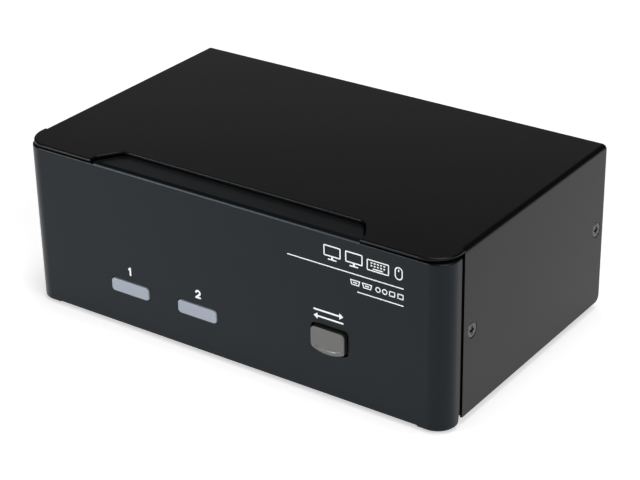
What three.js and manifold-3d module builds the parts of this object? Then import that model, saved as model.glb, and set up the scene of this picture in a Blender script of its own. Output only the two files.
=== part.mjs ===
// A two-computer KVM switch: a steel box with a plastic front, one select button and two status windows.
// Millimetres, +Z up. X runs across the front and Y from the front to the rear.
// Inside the unit group, Y = 0 is the bezel's front face and Z = 0 the cover's lower edge.
import * as THREE from "three";
import { mergeVertices } from "three/addons/utils/BufferGeometryUtils.js";
import Module from "manifold-3d";

// Casing
const WIDTH = 200;
const DEPTH = 121;
const HEIGHT = 70;
const SHEET = 1;
const BEND = 2;
const GAP = 0.3;
const SEAT = 0.1;
const FOOT_DROP = 3;
const HALF = WIDTH / 2;
const COVER_CEILING = HEIGHT - SHEET;

// Front edge of the cover
const LIP = 1;
const LIP_CORNER = 11.5;
const SIDE_FRONT = 12.4;
const SIDE_CORNER = 3;
const NOTCH = { front: 63.9, straight: 2.7, back: 57.8, depth: 12.2, corner: 3.5 };

// Front bezel
const BEZEL_WALL = 2.2;
const BEZEL_CORNER = 8.1;
const BEZEL_BACK = 10.4;
const BEZEL_TOP = 67.6;
const BEZEL_BOTTOM = -0.9;
const CORNER_BOTTOM = -1.8;
const CORNER_INNER_X = 88;
const TAB = { front: 63.2, straight: 2.7, back: 56.3, depth: 13.4, corner: 4 };
const TAB_TOP = 68.5;
const TAB_THICK = 2;
const LIPS_BACK = 12.6;
const BOTTOM_LIP_X = 84;
const SIDE_LIP = { front: 6, inset: 2.6, thick: 1.2, bottom: 2, top: 64 };
const HOOK = { x: 62, width: 8, thick: 2, low: 3, high: 60.5, back: 17, barb: 1.2, barbFront: 14.4 };

// Status windows and select button
const WINDOW = { xs: [-48, -13.9], z: 16.5, width: 19.2, height: 5.9, corner: 1, proud: 0.5 };
const WINDOW_FLANGE = { margin: 1.2, front: 2.4, back: 3.2 };
const BUTTON = { x: 49.2, halfWidth: 7.6, top: 28, side: 19.2, sag: 17.4, corner: 1.8, proud: 2 };
const BUTTON_WELL = 0.7;
const BUTTON_FLANGE = { margin: 1.6, front: 2.4, back: 3.2 };
const BUTTON_STEM = { radius: 1.5, back: 4.1, z: 23.2 };

// Front board, its parts and its cable
const BOARD = 1.6;
const FRONT_BOARD = { x0: -70, x1: 70, y: 8.6, z0: 8, z1: 36 };
const PEG = { radius: 1.3, shoulder: 3, xs: [-66, 66], zs: [11.5, 32] };
const LED = { width: 3.5, height: 2.8, depth: 1.9 };
const SWITCH = { size: 6.2, front: 4.6, bore: 2, boreBack: 7.9, plunger: 1.7 };
const HEADER = { x: -30, width: 17.8, thick: 6.4, tall: 7.6, wall: 0.8 };
const FRONT_HEADER_Z = 27;
const MAIN_HEADER_Y = 38;
const RIBBON = { width: 12.7, thick: 0.9, steps: 16, reach: 3 };

// Chassis tray
const TRAY_FRONT = 12.9;
const TRAY_BACK = 119.8;
const TRAY_BASE = 0.3;
const TRAY_X = HALF - SHEET - GAP;
const FRONT_WALL_TOP = 66;
const REAR_WALL_TOP = COVER_CEILING - GAP;
const SIDE_FLANGE_TOP = 6;
const EAR = { z: 34.5, half: 7, reach: 12 };
const CABLE_WINDOW = { half: 13, z0: 18, z1: 36 };
const REAR_FACE = TRAY_BACK;
const REAR_INNER = TRAY_BACK - SHEET;

// Stack of boards
const MAIN_BOARD = { x: 94, y0: 24, y1: 117.8, z: 7 };
const VIDEO_BOARD = { x: 82, y0: 44, y1: 117.2 };
const VIDEO_BOARD_ZS = [25, 46];
const POST = { x: 72, y: 50 };
const REAR_BOSS_Y = 98;
const BOSS_RADIUS = 3.5;
const CLEAR_HOLE = 1.8;
const STUD = 1.4;
const STUD_LENGTH = 5;
const HEX_RADIUS = 3.18;
const LINK = { width: 42, thick: 6, x: 0, y: 50 };
const CHIP = { size: 16, tall: 1.6, lift: 0.2, x: 30, y: 62 };

// Screws and feet
const COVER_SCREW = { ys: [18.4, 115.6], z: 34.5, head: 2.95, shank: 1.45, length: 8, cross: 3.2, slot: 0.8 };
const COUNTERSINK = 0.25;
const BOARD_SCREW = { head: 2.8, crown: 2.2, tall: 1.8, length: 6 };
const FOOT = { radius: 6.5, chamfer: 0.8, x: 84, ys: [26, 108] };

// Rear sockets. Column x is the middle of each computer's or the console's ports.
const COLUMNS = [
  { name: "console", x: 58 },
  { name: "pc_1", x: 0 },
  { name: "pc_2", x: -58 },
];
const ROWS = ["a", "b"];
const PORT_REACH = 4.2;
const DVI = { halfWidth: 12.1, halfHeight: 4.3, slant: 1.4, rim: 0.6, recess: 1, rise: 6.2 };
const DVI_FLANGE = { width: 39, height: 12, thick: 0.8 };
const DVI_BODY = { width: 28.6, front: 106, drop: 6 };
const JACK = { x: 16.65, radius: 2.75, length: 4.6, hole: 1.25, stud: 1.4, studLength: 6 };
const USB_A = { width: 14.5, height: 15.4, length: 17.5, mouth: 12.5, slot: 5.2, deep: 10, tongue: 1.9 };
const USB_B = { width: 12, height: 10.9, length: 16, mouth: 8.5, slot: 7.8, deep: 10, tongue: 3.2 };
const AUDIO = { width: 15.6, height: 10.8, length: 14, pitch: 7.8, nose: 3.2, bore: 1.8, deep: 13 };
const DC = { width: 9, height: 11, length: 14, bore: 3.1, pin: 1, deep: 9, rise: 6.4 };
const USB_OFFSET = 10;
const AUDIO_OFFSET = -9;
const EDGE_PORT_X = 87;
const SOCKET_PROUD = 0.6;
const NOSE_PROUD = 1.6;

// Facets
const ARC_STEPS = 6;
const ROUND_SIDES = 20;
const SMALL_SIDES = 12;
const HEX_SIDES = 6;
const WELD = 1e-4;
const THROUGH = 2;

const wasm = await Module();
wasm.setup();

// ---- Solids from three.js geometry ----

function solidOf(geometry) {
  geometry.deleteAttribute("normal");
  geometry.deleteAttribute("uv");
  const merged = mergeVertices(geometry, WELD);
  const mesh = new wasm.Mesh({
    numProp: 3,
    vertProperties: merged.attributes.position.array,
    triVerts: new Uint32Array(merged.index.array),
  });
  return new wasm.Manifold(mesh);
}

function geometryOf(solid) {
  const mesh = solid.getMesh();
  const geometry = new THREE.BufferGeometry();
  geometry.setAttribute("position", new THREE.BufferAttribute(mesh.vertProperties, 3));
  geometry.setIndex(new THREE.BufferAttribute(mesh.triVerts, 1));
  geometry.computeVertexNormals();
  return geometry;
}

const join = (...solids) => solids.reduce((whole, piece) => whole.add(piece));
const cut = (solid, ...tools) => tools.reduce((left, tool) => left.subtract(tool), solid);

const X_AXIS = new THREE.Vector3(1, 0, 0);
const Y_AXIS = new THREE.Vector3(0, 1, 0);
const Z_AXIS = new THREE.Vector3(0, 0, 1);
const ALONG = {
  x: new THREE.Matrix4().makeBasis(Y_AXIS, Z_AXIS, X_AXIS),
  y: new THREE.Matrix4().makeBasis(X_AXIS, Z_AXIS, Y_AXIS.clone().negate()),
  z: new THREE.Matrix4(),
};

// An outline in the two other axes, in X, Y, Z order, made solid from one place on the axis to another.
function slab(outline, axis, from, to) {
  const options = { depth: to - from, bevelEnabled: false, curveSegments: ARC_STEPS };
  const geometry = new THREE.ExtrudeGeometry(outline, options).applyMatrix4(ALONG[axis]);
  const start = new THREE.Vector3();
  start[axis] = axis === "y" ? to : from;
  geometry.translate(start.x, start.y, start.z);
  return solidOf(geometry);
}

function block([x0, x1], [y0, y1], [z0, z1]) {
  const geometry = new THREE.BoxGeometry(x1 - x0, y1 - y0, z1 - z0);
  geometry.translate((x0 + x1) / 2, (y0 + y1) / 2, (z0 + z1) / 2);
  return solidOf(geometry);
}

const around = (middle, size) => [middle - size / 2, middle + size / 2];

// A round or many-sided rod along an axis; its radius may change from one end to the other.
function rod(axis, centre, radii, from, to, sides = ROUND_SIDES) {
  const [startRadius, endRadius] = Array.isArray(radii) ? radii : [radii, radii];
  const geometry = new THREE.CylinderGeometry(endRadius, startRadius, to - from, sides);
  if (axis === "x") geometry.rotateZ(-Math.PI / 2);
  if (axis === "z") geometry.rotateX(Math.PI / 2);
  const middle = new THREE.Vector3();
  const others = ["x", "y", "z"].filter((name) => name !== axis);
  middle[others[0]] = centre[0];
  middle[others[1]] = centre[1];
  middle[axis] = (from + to) / 2;
  geometry.translate(middle.x, middle.y, middle.z);
  return solidOf(geometry);
}

// ---- Outlines ----

function roundedRectangle(x, y, width, height, radius) {
  const [x0, x1] = around(x, width);
  const [y0, y1] = around(y, height);
  const shape = new THREE.Shape();
  shape.absarc(x1 - radius, y1 - radius, radius, 0, Math.PI / 2);
  shape.absarc(x0 + radius, y1 - radius, radius, Math.PI / 2, Math.PI);
  shape.absarc(x0 + radius, y0 + radius, radius, Math.PI, 1.5 * Math.PI);
  shape.absarc(x1 - radius, y0 + radius, radius, 1.5 * Math.PI, 2 * Math.PI);
  return shape;
}

// A box section open at the bottom of the page, with its two upper corners rounded.
function archOutline(halfWidth, bottom, top, radius) {
  const shape = new THREE.Shape();
  shape.moveTo(-halfWidth, bottom);
  shape.lineTo(halfWidth, bottom);
  shape.absarc(halfWidth - radius, top - radius, radius, 0, Math.PI / 2);
  shape.absarc(radius - halfWidth, top - radius, radius, Math.PI / 2, Math.PI);
  return shape;
}

// Seen from above: square at the back, with its two front corners rounded.
function planOutline(halfWidth, front, back, radius) {
  const shape = new THREE.Shape();
  shape.moveTo(halfWidth, back);
  shape.lineTo(-halfWidth, back);
  shape.absarc(radius - halfWidth, front + radius, radius, Math.PI, 1.5 * Math.PI);
  shape.absarc(halfWidth - radius, front + radius, radius, 1.5 * Math.PI, 2 * Math.PI);
  return shape;
}

// Seen from above: wide at the front, narrower at the back, with its back corners rounded.
function tongueOutline({ front, straight, back, depth, corner }, start) {
  const slope = (front - back) / (depth - straight);
  const shape = new THREE.Shape();
  shape.moveTo(-front, start);
  shape.lineTo(front, start);
  shape.lineTo(front, straight);
  shape.lineTo(back + slope * corner, depth - corner);
  shape.quadraticCurveTo(back, depth, back - corner, depth);
  shape.lineTo(corner - back, depth);
  shape.quadraticCurveTo(-back, depth, -back - slope * corner, depth - corner);
  shape.lineTo(-front, straight);
  return shape;
}

// The button's face: straight top and sides, and a lower edge that sags in an arc.
function shieldOutline({ x, halfWidth, top, side, sag, corner }, grow) {
  const w = halfWidth + grow;
  const high = top + grow;
  const low = side - grow;
  const dip = 2 * (sag - grow) - low;
  const shape = new THREE.Shape();
  shape.moveTo(x - w, low + corner);
  shape.quadraticCurveTo(x - w, low, x - w + corner, low - corner / 2);
  shape.quadraticCurveTo(x, dip, x + w - corner, low - corner / 2);
  shape.quadraticCurveTo(x + w, low, x + w, low + corner);
  shape.lineTo(x + w, high - corner);
  shape.quadraticCurveTo(x + w, high, x + w - corner, high);
  shape.lineTo(x - w + corner, high);
  shape.quadraticCurveTo(x - w, high, x - w, high - corner);
  return shape;
}

// A video socket's outline: wider at the top than at the bottom.
function socketOutline(x, z, { halfWidth, halfHeight, slant }, grow) {
  const w = halfWidth + grow;
  const h = halfHeight + grow;
  const shape = new THREE.Shape();
  shape.moveTo(x - w, z + h);
  shape.lineTo(x - w, z);
  shape.lineTo(x - w + slant, z - h);
  shape.lineTo(x + w - slant, z - h);
  shape.lineTo(x + w, z);
  shape.lineTo(x + w, z + h);
  return shape;
}

// ---- Casing ----

function coverScrewHole(side, y) {
  const { z, head, length } = COVER_SCREW;
  const outer = head + COUNTERSINK;
  const radii = side > 0 ? [outer - SHEET, outer] : [outer, outer - SHEET];
  const [x0, x1] = side > 0 ? [HALF - SHEET, HALF] : [-HALF, SHEET - HALF];
  const through = rod("x", [y, z], CLEAR_HOLE, side * HALF - length, side * HALF + length);
  return join(through, rod("x", [y, z], radii, x0, x1));
}

function topCover() {
  const start = -LIP;
  const arch = slab(archOutline(HALF, 0, HEIGHT, BEND), "y", SIDE_FRONT - SHEET, DEPTH);
  const flatFront = block([-HALF, HALF], [start, SIDE_FRONT], [COVER_CEILING, HEIGHT]);
  const outer = join(arch, flatFront);
  const inner = slab(
    archOutline(HALF - SHEET, -THROUGH, COVER_CEILING, BEND - SHEET),
    "y", start - THROUGH, DEPTH + THROUGH,
  );
  const plan = slab(planOutline(HALF, start, DEPTH, LIP_CORNER), "z", -THROUGH, HEIGHT + THROUGH);
  const notch = slab(tongueOutline(NOTCH, start - THROUGH), "z", COVER_CEILING - THROUGH, HEIGHT + THROUGH);
  const sideFront = block(
    [-HALF - THROUGH, HALF + THROUGH], [start - THROUGH, SIDE_FRONT], [-THROUGH, COVER_CEILING],
  );
  const corner = new THREE.Shape();
  corner.moveTo(DEPTH + THROUGH, -THROUGH);
  corner.lineTo(DEPTH + THROUGH, SIDE_CORNER);
  corner.lineTo(DEPTH, SIDE_CORNER);
  corner.absarc(DEPTH - SIDE_CORNER, SIDE_CORNER, SIDE_CORNER, 0, -Math.PI / 2, true);
  corner.lineTo(DEPTH - SIDE_CORNER, -THROUGH);
  const lowerCorners = slab(corner, "x", -HALF - THROUGH, HALF + THROUGH);
  const holes = COVER_SCREW.ys.flatMap((y) => [coverScrewHole(-1, y), coverScrewHole(1, y)]);
  return cut(outer, inner, notch, sideFront, lowerCorners, ...holes).intersect(plan);
}

function trayEar(side, y0, y1) {
  const x = side > 0 ? [TRAY_X - SHEET, TRAY_X] : [-TRAY_X, SHEET - TRAY_X];
  return block(x, [y0, y1], [EAR.z - EAR.half, EAR.z + EAR.half]);
}

function earHole(side, y) {
  const x = side > 0 ? [TRAY_X - THROUGH, HALF] : [-HALF, THROUGH - TRAY_X];
  return rod("x", [y, EAR.z], CLEAR_HOLE + SEAT, ...x, SMALL_SIDES);
}

function trayShell() {
  const across = [-TRAY_X, TRAY_X];
  const along = [TRAY_FRONT, TRAY_BACK];
  const floor = block(across, along, [TRAY_BASE, TRAY_BASE + SHEET]);
  const frontWall = block(across, [TRAY_FRONT, TRAY_FRONT + SHEET], [TRAY_BASE, FRONT_WALL_TOP]);
  const rearWall = block(across, [REAR_INNER, TRAY_BACK], [TRAY_BASE, REAR_WALL_TOP]);
  const flanges = [-1, 1].map((side) => {
    const x = side > 0 ? [TRAY_X - SHEET, TRAY_X] : [-TRAY_X, SHEET - TRAY_X];
    return block(x, along, [TRAY_BASE, SIDE_FLANGE_TOP]);
  });
  const ears = [-1, 1].flatMap((side) => [
    trayEar(side, TRAY_FRONT, TRAY_FRONT + EAR.reach),
    trayEar(side, TRAY_BACK - EAR.reach, TRAY_BACK),
  ]);
  return join(floor, frontWall, rearWall, ...flanges, ...ears);
}

const bossPlaces = () => [-POST.x, POST.x].flatMap((x) => [[x, POST.y], [x, REAR_BOSS_Y]]);

function hookSlot(side, level) {
  const { x, width, thick, barb } = HOOK;
  const z = level === "high" ? [HOOK.high, HOOK.high + thick + barb] : [HOOK.low - barb, HOOK.low + thick];
  return block(
    around(side * x, width + 2 * GAP),
    [TRAY_FRONT - SHEET, TRAY_FRONT + 2 * SHEET],
    [z[0] - GAP, z[1] + GAP],
  );
}

function rearOpening(x, z, width, height) {
  const y = [REAR_INNER - SHEET, REAR_FACE + SHEET];
  return block(around(x, width + 2 * GAP), y, around(z, height + 2 * GAP));
}

function rearOpenings() {
  const y = [REAR_INNER - SHEET, REAR_FACE + SHEET];
  const dvi = COLUMNS.flatMap(({ x }) => VIDEO_BOARD_ZS.flatMap((boardZ) => {
    const z = dviHeight(boardZ);
    return [
      slab(socketOutline(x, z, DVI, GAP), "y", ...y),
      ...[-1, 1].map((side) => rod("y", [x + side * JACK.x, z], CLEAR_HOLE, ...y, SMALL_SIDES)),
    ];
  }));
  const usb = usbPorts().map(({ x, kind }) => rearOpening(x, onMain(kind.height), kind.width, kind.height));
  const audio = COLUMNS.flatMap((column) => audioBores(column.x).map(
    ([x, z]) => rod("y", [x, z], AUDIO.nose + GAP, ...y),
  ));
  return [...dvi, ...usb, ...audio, rearOpening(EDGE_PORT_X, onMain(DC.height), DC.width, DC.height)];
}

function chassisTray() {
  const top = TRAY_BASE + SHEET;
  const bosses = bossPlaces().map((p) => rod("z", p, BOSS_RADIUS, TRAY_BASE, MAIN_BOARD.z - SEAT));
  const bossHoles = bossPlaces().map((p) => rod("z", p, CLEAR_HOLE, top, MAIN_BOARD.z, SMALL_SIDES));
  const ears = [-1, 1].flatMap((side) => COVER_SCREW.ys.map((y) => earHole(side, y)));
  const slots = [-1, 1].flatMap((side) => [hookSlot(side, "low"), hookSlot(side, "high")]);
  const cableWindow = block(
    around(HEADER.x, 2 * CABLE_WINDOW.half),
    [TRAY_FRONT - SHEET, TRAY_FRONT + 2 * SHEET],
    [CABLE_WINDOW.z0, CABLE_WINDOW.z1],
  );
  const sheet = join(trayShell(), ...bosses);
  return cut(sheet, ...bossHoles, ...ears, ...slots, cableWindow, ...rearOpenings());
}

function bezelHook(side, level) {
  const { x, width, thick, back, barb, barbFront } = HOOK;
  const z = HOOK[level];
  const arm = block(around(side * x, width), [BEZEL_WALL / 2, back], [z, z + thick]);
  const barbZ = level === "high" ? [z + thick / 2, z + thick + barb] : [z - barb, z + thick / 2];
  return join(arm, block(around(side * x, width), [barbFront, back], barbZ));
}

function boardPost(x, z) {
  const shoulder = rod("y", [x, z], PEG.shoulder, BEZEL_WALL / 2, FRONT_BOARD.y - SEAT, SMALL_SIDES);
  const peg = rod("y", [x, z], PEG.radius, BEZEL_WALL, FRONT_BOARD.y + BOARD + SHEET, SMALL_SIDES);
  return join(shoulder, peg);
}

function frontBezel() {
  const shell = slab(planOutline(HALF, 0, BEZEL_BACK, BEZEL_CORNER), "z", CORNER_BOTTOM, BEZEL_TOP);
  const underside = block(
    [-CORNER_INNER_X, CORNER_INNER_X],
    [-THROUGH, BEZEL_BACK + THROUGH],
    [CORNER_BOTTOM - THROUGH, BEZEL_BOTTOM],
  );
  const hollow = slab(
    planOutline(HALF - BEZEL_WALL, BEZEL_WALL, BEZEL_BACK + THROUGH, BEZEL_CORNER - BEZEL_WALL),
    "z", BEZEL_BOTTOM + BEZEL_WALL, BEZEL_TOP - BEZEL_WALL,
  );
  const tab = slab(tongueOutline(TAB, 0), "z", TAB_TOP - TAB_THICK, TAB_TOP);
  const bottomLip = block(
    [-BOTTOM_LIP_X, BOTTOM_LIP_X], [BEZEL_WALL, LIPS_BACK], [BEZEL_BOTTOM, BEZEL_BOTTOM + BEZEL_WALL / 2],
  );
  const lips = [-1, 1].map((side) => block(
    around(side * (HALF - SIDE_LIP.inset), SIDE_LIP.thick),
    [SIDE_LIP.front, LIPS_BACK],
    [SIDE_LIP.bottom, SIDE_LIP.top],
  ));
  const hooks = [-1, 1].flatMap((side) => [bezelHook(side, "low"), bezelHook(side, "high")]);
  const posts = PEG.xs.flatMap((x) => PEG.zs.map((z) => boardPost(x, z)));
  const windows = WINDOW.xs.map((x) => slab(
    roundedRectangle(x, WINDOW.z, WINDOW.width + 2 * GAP, WINDOW.height + 2 * GAP, WINDOW.corner + GAP),
    "y", -THROUGH, BEZEL_WALL + SHEET,
  ));
  const well = slab(shieldOutline(BUTTON, BUTTON_WELL), "y", -THROUGH, BEZEL_WALL + SHEET);
  const casing = join(cut(shell, hollow, underside), tab, bottomLip, ...lips, ...hooks, ...posts);
  return cut(casing, ...windows, well);
}

// ---- Front panel parts ----

function ledWindow(x) {
  const { z, width, height, corner, proud } = WINDOW;
  const { margin, front, back } = WINDOW_FLANGE;
  const pane = slab(roundedRectangle(x, z, width, height, corner), "y", -proud, front + SEAT);
  const flange = roundedRectangle(x, z, width + 2 * margin, height + 2 * margin, corner);
  return join(pane, slab(flange, "y", front, back));
}

function selectButton() {
  const { margin, front, back } = BUTTON_FLANGE;
  const cap = slab(shieldOutline(BUTTON, 0), "y", -BUTTON.proud, front + SEAT);
  const flange = slab(shieldOutline(BUTTON, margin), "y", front, back);
  const stem = rod("y", [BUTTON.x, BUTTON_STEM.z], BUTTON_STEM.radius, back - SEAT, BUTTON_STEM.back);
  return join(cap, flange, stem);
}

function switchPlunger() {
  const front = BUTTON_STEM.back + SEAT;
  const back = SWITCH.boreBack - SHEET;
  return rod("y", [BUTTON.x, BUTTON_STEM.z], SWITCH.plunger, front, back);
}

function switchBody() {
  const { size, front, bore, boreBack } = SWITCH;
  const y = [front, FRONT_BOARD.y - SEAT];
  const shell = block(around(BUTTON.x, size), y, around(BUTTON_STEM.z, size));
  return cut(shell, rod("y", [BUTTON.x, BUTTON_STEM.z], bore, front - THROUGH, boreBack));
}

function statusLed(x) {
  const back = FRONT_BOARD.y - SEAT;
  return block(around(x, LED.width), [back - LED.depth, back], around(WINDOW.z, LED.height));
}

function frontBoard() {
  const { x0, x1, y, z0, z1 } = FRONT_BOARD;
  const pegHoles = PEG.xs.flatMap((x) => PEG.zs.map(
    (z) => rod("y", [x, z], PEG.radius + GAP, y - THROUGH, y + BOARD + THROUGH, SMALL_SIDES),
  ));
  return cut(block([x0, x1], [y, y + BOARD], [z0, z1]), ...pegHoles);
}

// A shrouded pin header, open on the side that the cable's plug goes in at.
function frontHeader() {
  const { x, width, thick, tall, wall } = HEADER;
  const back = FRONT_BOARD.y + BOARD + SEAT;
  const shell = block(around(x, width), [back, back + tall], around(FRONT_HEADER_Z, thick));
  const inside = block(
    around(x, width - 2 * wall),
    [back + 2 * wall, back + tall + THROUGH],
    around(FRONT_HEADER_Z, thick - 2 * wall),
  );
  return cut(shell, inside);
}

const mainTop = () => MAIN_BOARD.z + BOARD + SEAT;

function mainHeader() {
  const { x, width, thick, tall, wall } = HEADER;
  const shell = block(around(x, width), around(MAIN_HEADER_Y, thick), [mainTop(), mainTop() + tall]);
  const inside = block(
    around(x, width - 2 * wall),
    around(MAIN_HEADER_Y, thick - 2 * wall),
    [mainTop() + 2 * wall, mainTop() + tall + THROUGH],
  );
  return cut(shell, inside);
}

// The flat cable leaves the front header rearwards and drops into the main header.
function ribbonCable() {
  const startY = FRONT_BOARD.y + BOARD + SEAT + 2 * HEADER.wall + GAP;
  const endZ = mainTop() + 2 * HEADER.wall + GAP;
  const bend = RIBBON.reach * HEADER.tall;
  const route = new THREE.CubicBezierCurve(
    new THREE.Vector2(startY, FRONT_HEADER_Z),
    new THREE.Vector2(startY + bend, FRONT_HEADER_Z),
    new THREE.Vector2(MAIN_HEADER_Y, endZ + bend),
    new THREE.Vector2(MAIN_HEADER_Y, endZ),
  );
  const offset = (t, side) => {
    const along = route.getTangent(t);
    const normal = new THREE.Vector2(-along.y, along.x).multiplyScalar(side * RIBBON.thick / 2);
    return route.getPoint(t).add(normal);
  };
  const steps = Array.from({ length: RIBBON.steps + 1 }, (_, i) => i / RIBBON.steps);
  const upper = steps.map((t) => offset(t, 1));
  const lower = steps.map((t) => offset(t, -1)).reverse();
  return slab(new THREE.Shape([...lower, ...upper]), "x", ...around(HEADER.x, RIBBON.width));
}

// ---- Boards and what holds them ----

function mainBoard() {
  const { x, y0, y1, z } = MAIN_BOARD;
  const ends = [z - THROUGH, z + BOARD + THROUGH];
  const holes = bossPlaces().map((p) => rod("z", p, CLEAR_HOLE, ...ends, SMALL_SIDES));
  return cut(block([-x, x], [y0, y1], [z, z + BOARD]), ...holes);
}

function videoBoard(z) {
  const { x, y0, y1 } = VIDEO_BOARD;
  const holes = [-POST.x, POST.x].map(
    (px) => rod("z", [px, POST.y], CLEAR_HOLE, z - THROUGH, z + BOARD + THROUGH, SMALL_SIDES),
  );
  return cut(block([-x, x], [y0, y1], [z, z + BOARD]), ...holes);
}

// A hexagonal spacer with a threaded stud below and a threaded hole above.
function spacer(x, bottom, top) {
  const hex = rod("z", [x, POST.y], HEX_RADIUS, bottom, top, HEX_SIDES);
  const stud = rod("z", [x, POST.y], STUD, bottom - STUD_LENGTH, bottom + SEAT, SMALL_SIDES);
  const hole = rod("z", [x, POST.y], CLEAR_HOLE, top - STUD_LENGTH - THROUGH, top + SEAT, SMALL_SIDES);
  return cut(join(hex, stud), hole);
}

function boardScrew(x) {
  const seat = VIDEO_BOARD_ZS[1] + BOARD + SEAT;
  const head = rod("z", [x, POST.y], [BOARD_SCREW.head, BOARD_SCREW.crown], seat, seat + BOARD_SCREW.tall);
  return join(head, rod("z", [x, POST.y], STUD, seat - BOARD_SCREW.length, seat + SEAT, SMALL_SIDES));
}

function boardLink(bottom, top) {
  return block(around(LINK.x, LINK.width), around(LINK.y, LINK.thick), [bottom, top]);
}

function mainChip() {
  const z = mainTop() + CHIP.lift;
  return block(around(CHIP.x, CHIP.size), around(CHIP.y, CHIP.size), [z, z + CHIP.tall]);
}

// ---- Rear sockets ----

const dviHeight = (boardZ) => boardZ + BOARD + DVI.rise;
const onMain = (height) => mainTop() + height / 2;

function usbPorts() {
  const [consoleColumn, ...computers] = COLUMNS;
  return [
    { name: "usb_stack_console", kind: USB_A, x: consoleColumn.x + USB_OFFSET },
    ...computers.map(({ name, x }) => ({ name: "usb_" + name, kind: USB_B, x: x + USB_OFFSET })),
    { name: "usb_stack_hub", kind: USB_A, x: -EDGE_PORT_X },
  ];
}

const audioBores = (columnX) => [-1, 1].map(
  (side) => [columnX + AUDIO_OFFSET + side * AUDIO.pitch / 2, onMain(AUDIO.height)],
);

function dviPort(x, boardZ) {
  const z = dviHeight(boardZ);
  const back = DEPTH + PORT_REACH;
  const flangeBack = REAR_INNER - SEAT;
  const shell = slab(socketOutline(x, z, DVI, 0), "y", flangeBack - DVI_FLANGE.thick, back);
  const face = slab(socketOutline(x, z, DVI, -DVI.rim), "y", back - DVI.recess, back + THROUGH);
  const flange = block(
    around(x, DVI_FLANGE.width), [flangeBack - DVI_FLANGE.thick, flangeBack], around(z, DVI_FLANGE.height),
  );
  const housing = block(
    around(x, DVI_BODY.width),
    [DVI_BODY.front, flangeBack - SEAT],
    [z - DVI_BODY.drop, z + DVI_BODY.drop - SEAT],
  );
  const holes = [-1, 1].map(
    (side) => rod("y", [x + side * JACK.x, z], CLEAR_HOLE, flangeBack - THROUGH, REAR_FACE, SMALL_SIDES),
  );
  return cut(join(shell, flange, housing), face, ...holes);
}

function jackscrew(x, z) {
  const base = REAR_FACE + SEAT;
  const end = base + JACK.length;
  const hex = rod("y", [x, z], JACK.radius, base, end, HEX_SIDES);
  const stud = rod("y", [x, z], JACK.stud, base - JACK.studLength, base + SEAT, SMALL_SIDES);
  return cut(join(hex, stud), rod("y", [x, z], JACK.hole, base, end + SEAT, SMALL_SIDES));
}

function usbStack(x, kind) {
  const front = REAR_FACE + SOCKET_PROUD - kind.length;
  const back = REAR_FACE + SOCKET_PROUD;
  const shell = block(around(x, kind.width), [front, back], [mainTop(), mainTop() + kind.height]);
  const slots = [-1, 1].map((side) => {
    const z = onMain(kind.height) + side * kind.height / 4;
    const mouth = block(around(x, kind.mouth), [back - kind.deep, back + THROUGH], around(z, kind.slot));
    const tongueZ = [z + kind.slot / 2 - 2 * kind.tongue, z + kind.slot / 2 - kind.tongue];
    const tongue = block(around(x, kind.mouth - kind.tongue), [back - kind.deep, back - SHEET], tongueZ);
    return cut(mouth, tongue);
  });
  return cut(shell, ...slots);
}

function usbSquare(x, kind) {
  const back = REAR_FACE + SOCKET_PROUD;
  const z = onMain(kind.height);
  const height = [mainTop(), mainTop() + kind.height];
  const shell = block(around(x, kind.width), [back - kind.length, back], height);
  const outline = archOutline(kind.mouth / 2, -kind.slot / 2, kind.slot / 2, kind.tongue / 2);
  const mouth = slab(outline, "y", 0, kind.deep);
  const tongue = block(
    around(x, kind.mouth - kind.tongue), [back - kind.deep, back - SHEET], around(z, kind.tongue),
  );
  return cut(shell, cut(mouth.translate([x, back - kind.deep + SEAT, z]), tongue));
}

function audioPair(columnX) {
  const body = block(
    around(columnX + AUDIO_OFFSET, AUDIO.width),
    [REAR_INNER - GAP - AUDIO.length, REAR_INNER - GAP],
    [mainTop(), mainTop() + AUDIO.height],
  );
  const noses = audioBores(columnX).map(
    (p) => rod("y", p, AUDIO.nose, REAR_INNER - SHEET, REAR_FACE + NOSE_PROUD),
  );
  const back = REAR_FACE + NOSE_PROUD + SEAT;
  const bores = audioBores(columnX).map((p) => rod("y", p, AUDIO.bore, back - AUDIO.deep, back, SMALL_SIDES));
  return cut(join(body, ...noses), ...bores);
}

function dcJack() {
  const back = REAR_FACE + SOCKET_PROUD;
  const centre = [EDGE_PORT_X, mainTop() + DC.rise];
  const shell = block(
    around(EDGE_PORT_X, DC.width), [back - DC.length, back], [mainTop(), mainTop() + DC.height],
  );
  const bore = rod("y", centre, DC.bore, back - DC.deep, back + SEAT);
  const pin = rod("y", centre, DC.pin, back - DC.deep - SHEET, back - SHEET, SMALL_SIDES);
  return cut(shell, cut(bore, pin));
}

// ---- Screws and feet ----

function coverScrew(side, y) {
  const { z, head, shank, length, cross, slot } = COVER_SCREW;
  const out = HALF - SEAT / 2;
  const neck = out - (head - shank);
  const cone = rod("x", [y, z], [shank, head], neck, out);
  const thread = rod("x", [y, z], shank, out - length, neck + SEAT, SMALL_SIDES);
  const depth = [out - slot, out + SEAT];
  const recess = join(
    block(depth, around(y, cross), around(z, slot)),
    block(depth, around(y, slot), around(z, cross)),
  );
  const screw = cut(join(cone, thread), recess);
  return side > 0 ? screw : screw.mirror([1, 0, 0]);
}

function rubberFoot(x, y) {
  const { radius, chamfer } = FOOT;
  const top = TRAY_BASE - SEAT;
  const profile = [
    [0, -FOOT_DROP],
    [radius - chamfer, -FOOT_DROP],
    [radius, chamfer - FOOT_DROP],
    [radius, top],
    [0, top],
  ].map(([r, z]) => new THREE.Vector2(r, z));
  const geometry = new THREE.LatheGeometry(profile, ROUND_SIDES);
  geometry.rotateX(Math.PI / 2);
  geometry.translate(x, y, 0);
  return solidOf(geometry);
}

// ---- Assembly ----

function finish(color, roughness, metalness) {
  return new THREE.MeshStandardMaterial({ color, roughness, metalness });
}

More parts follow.
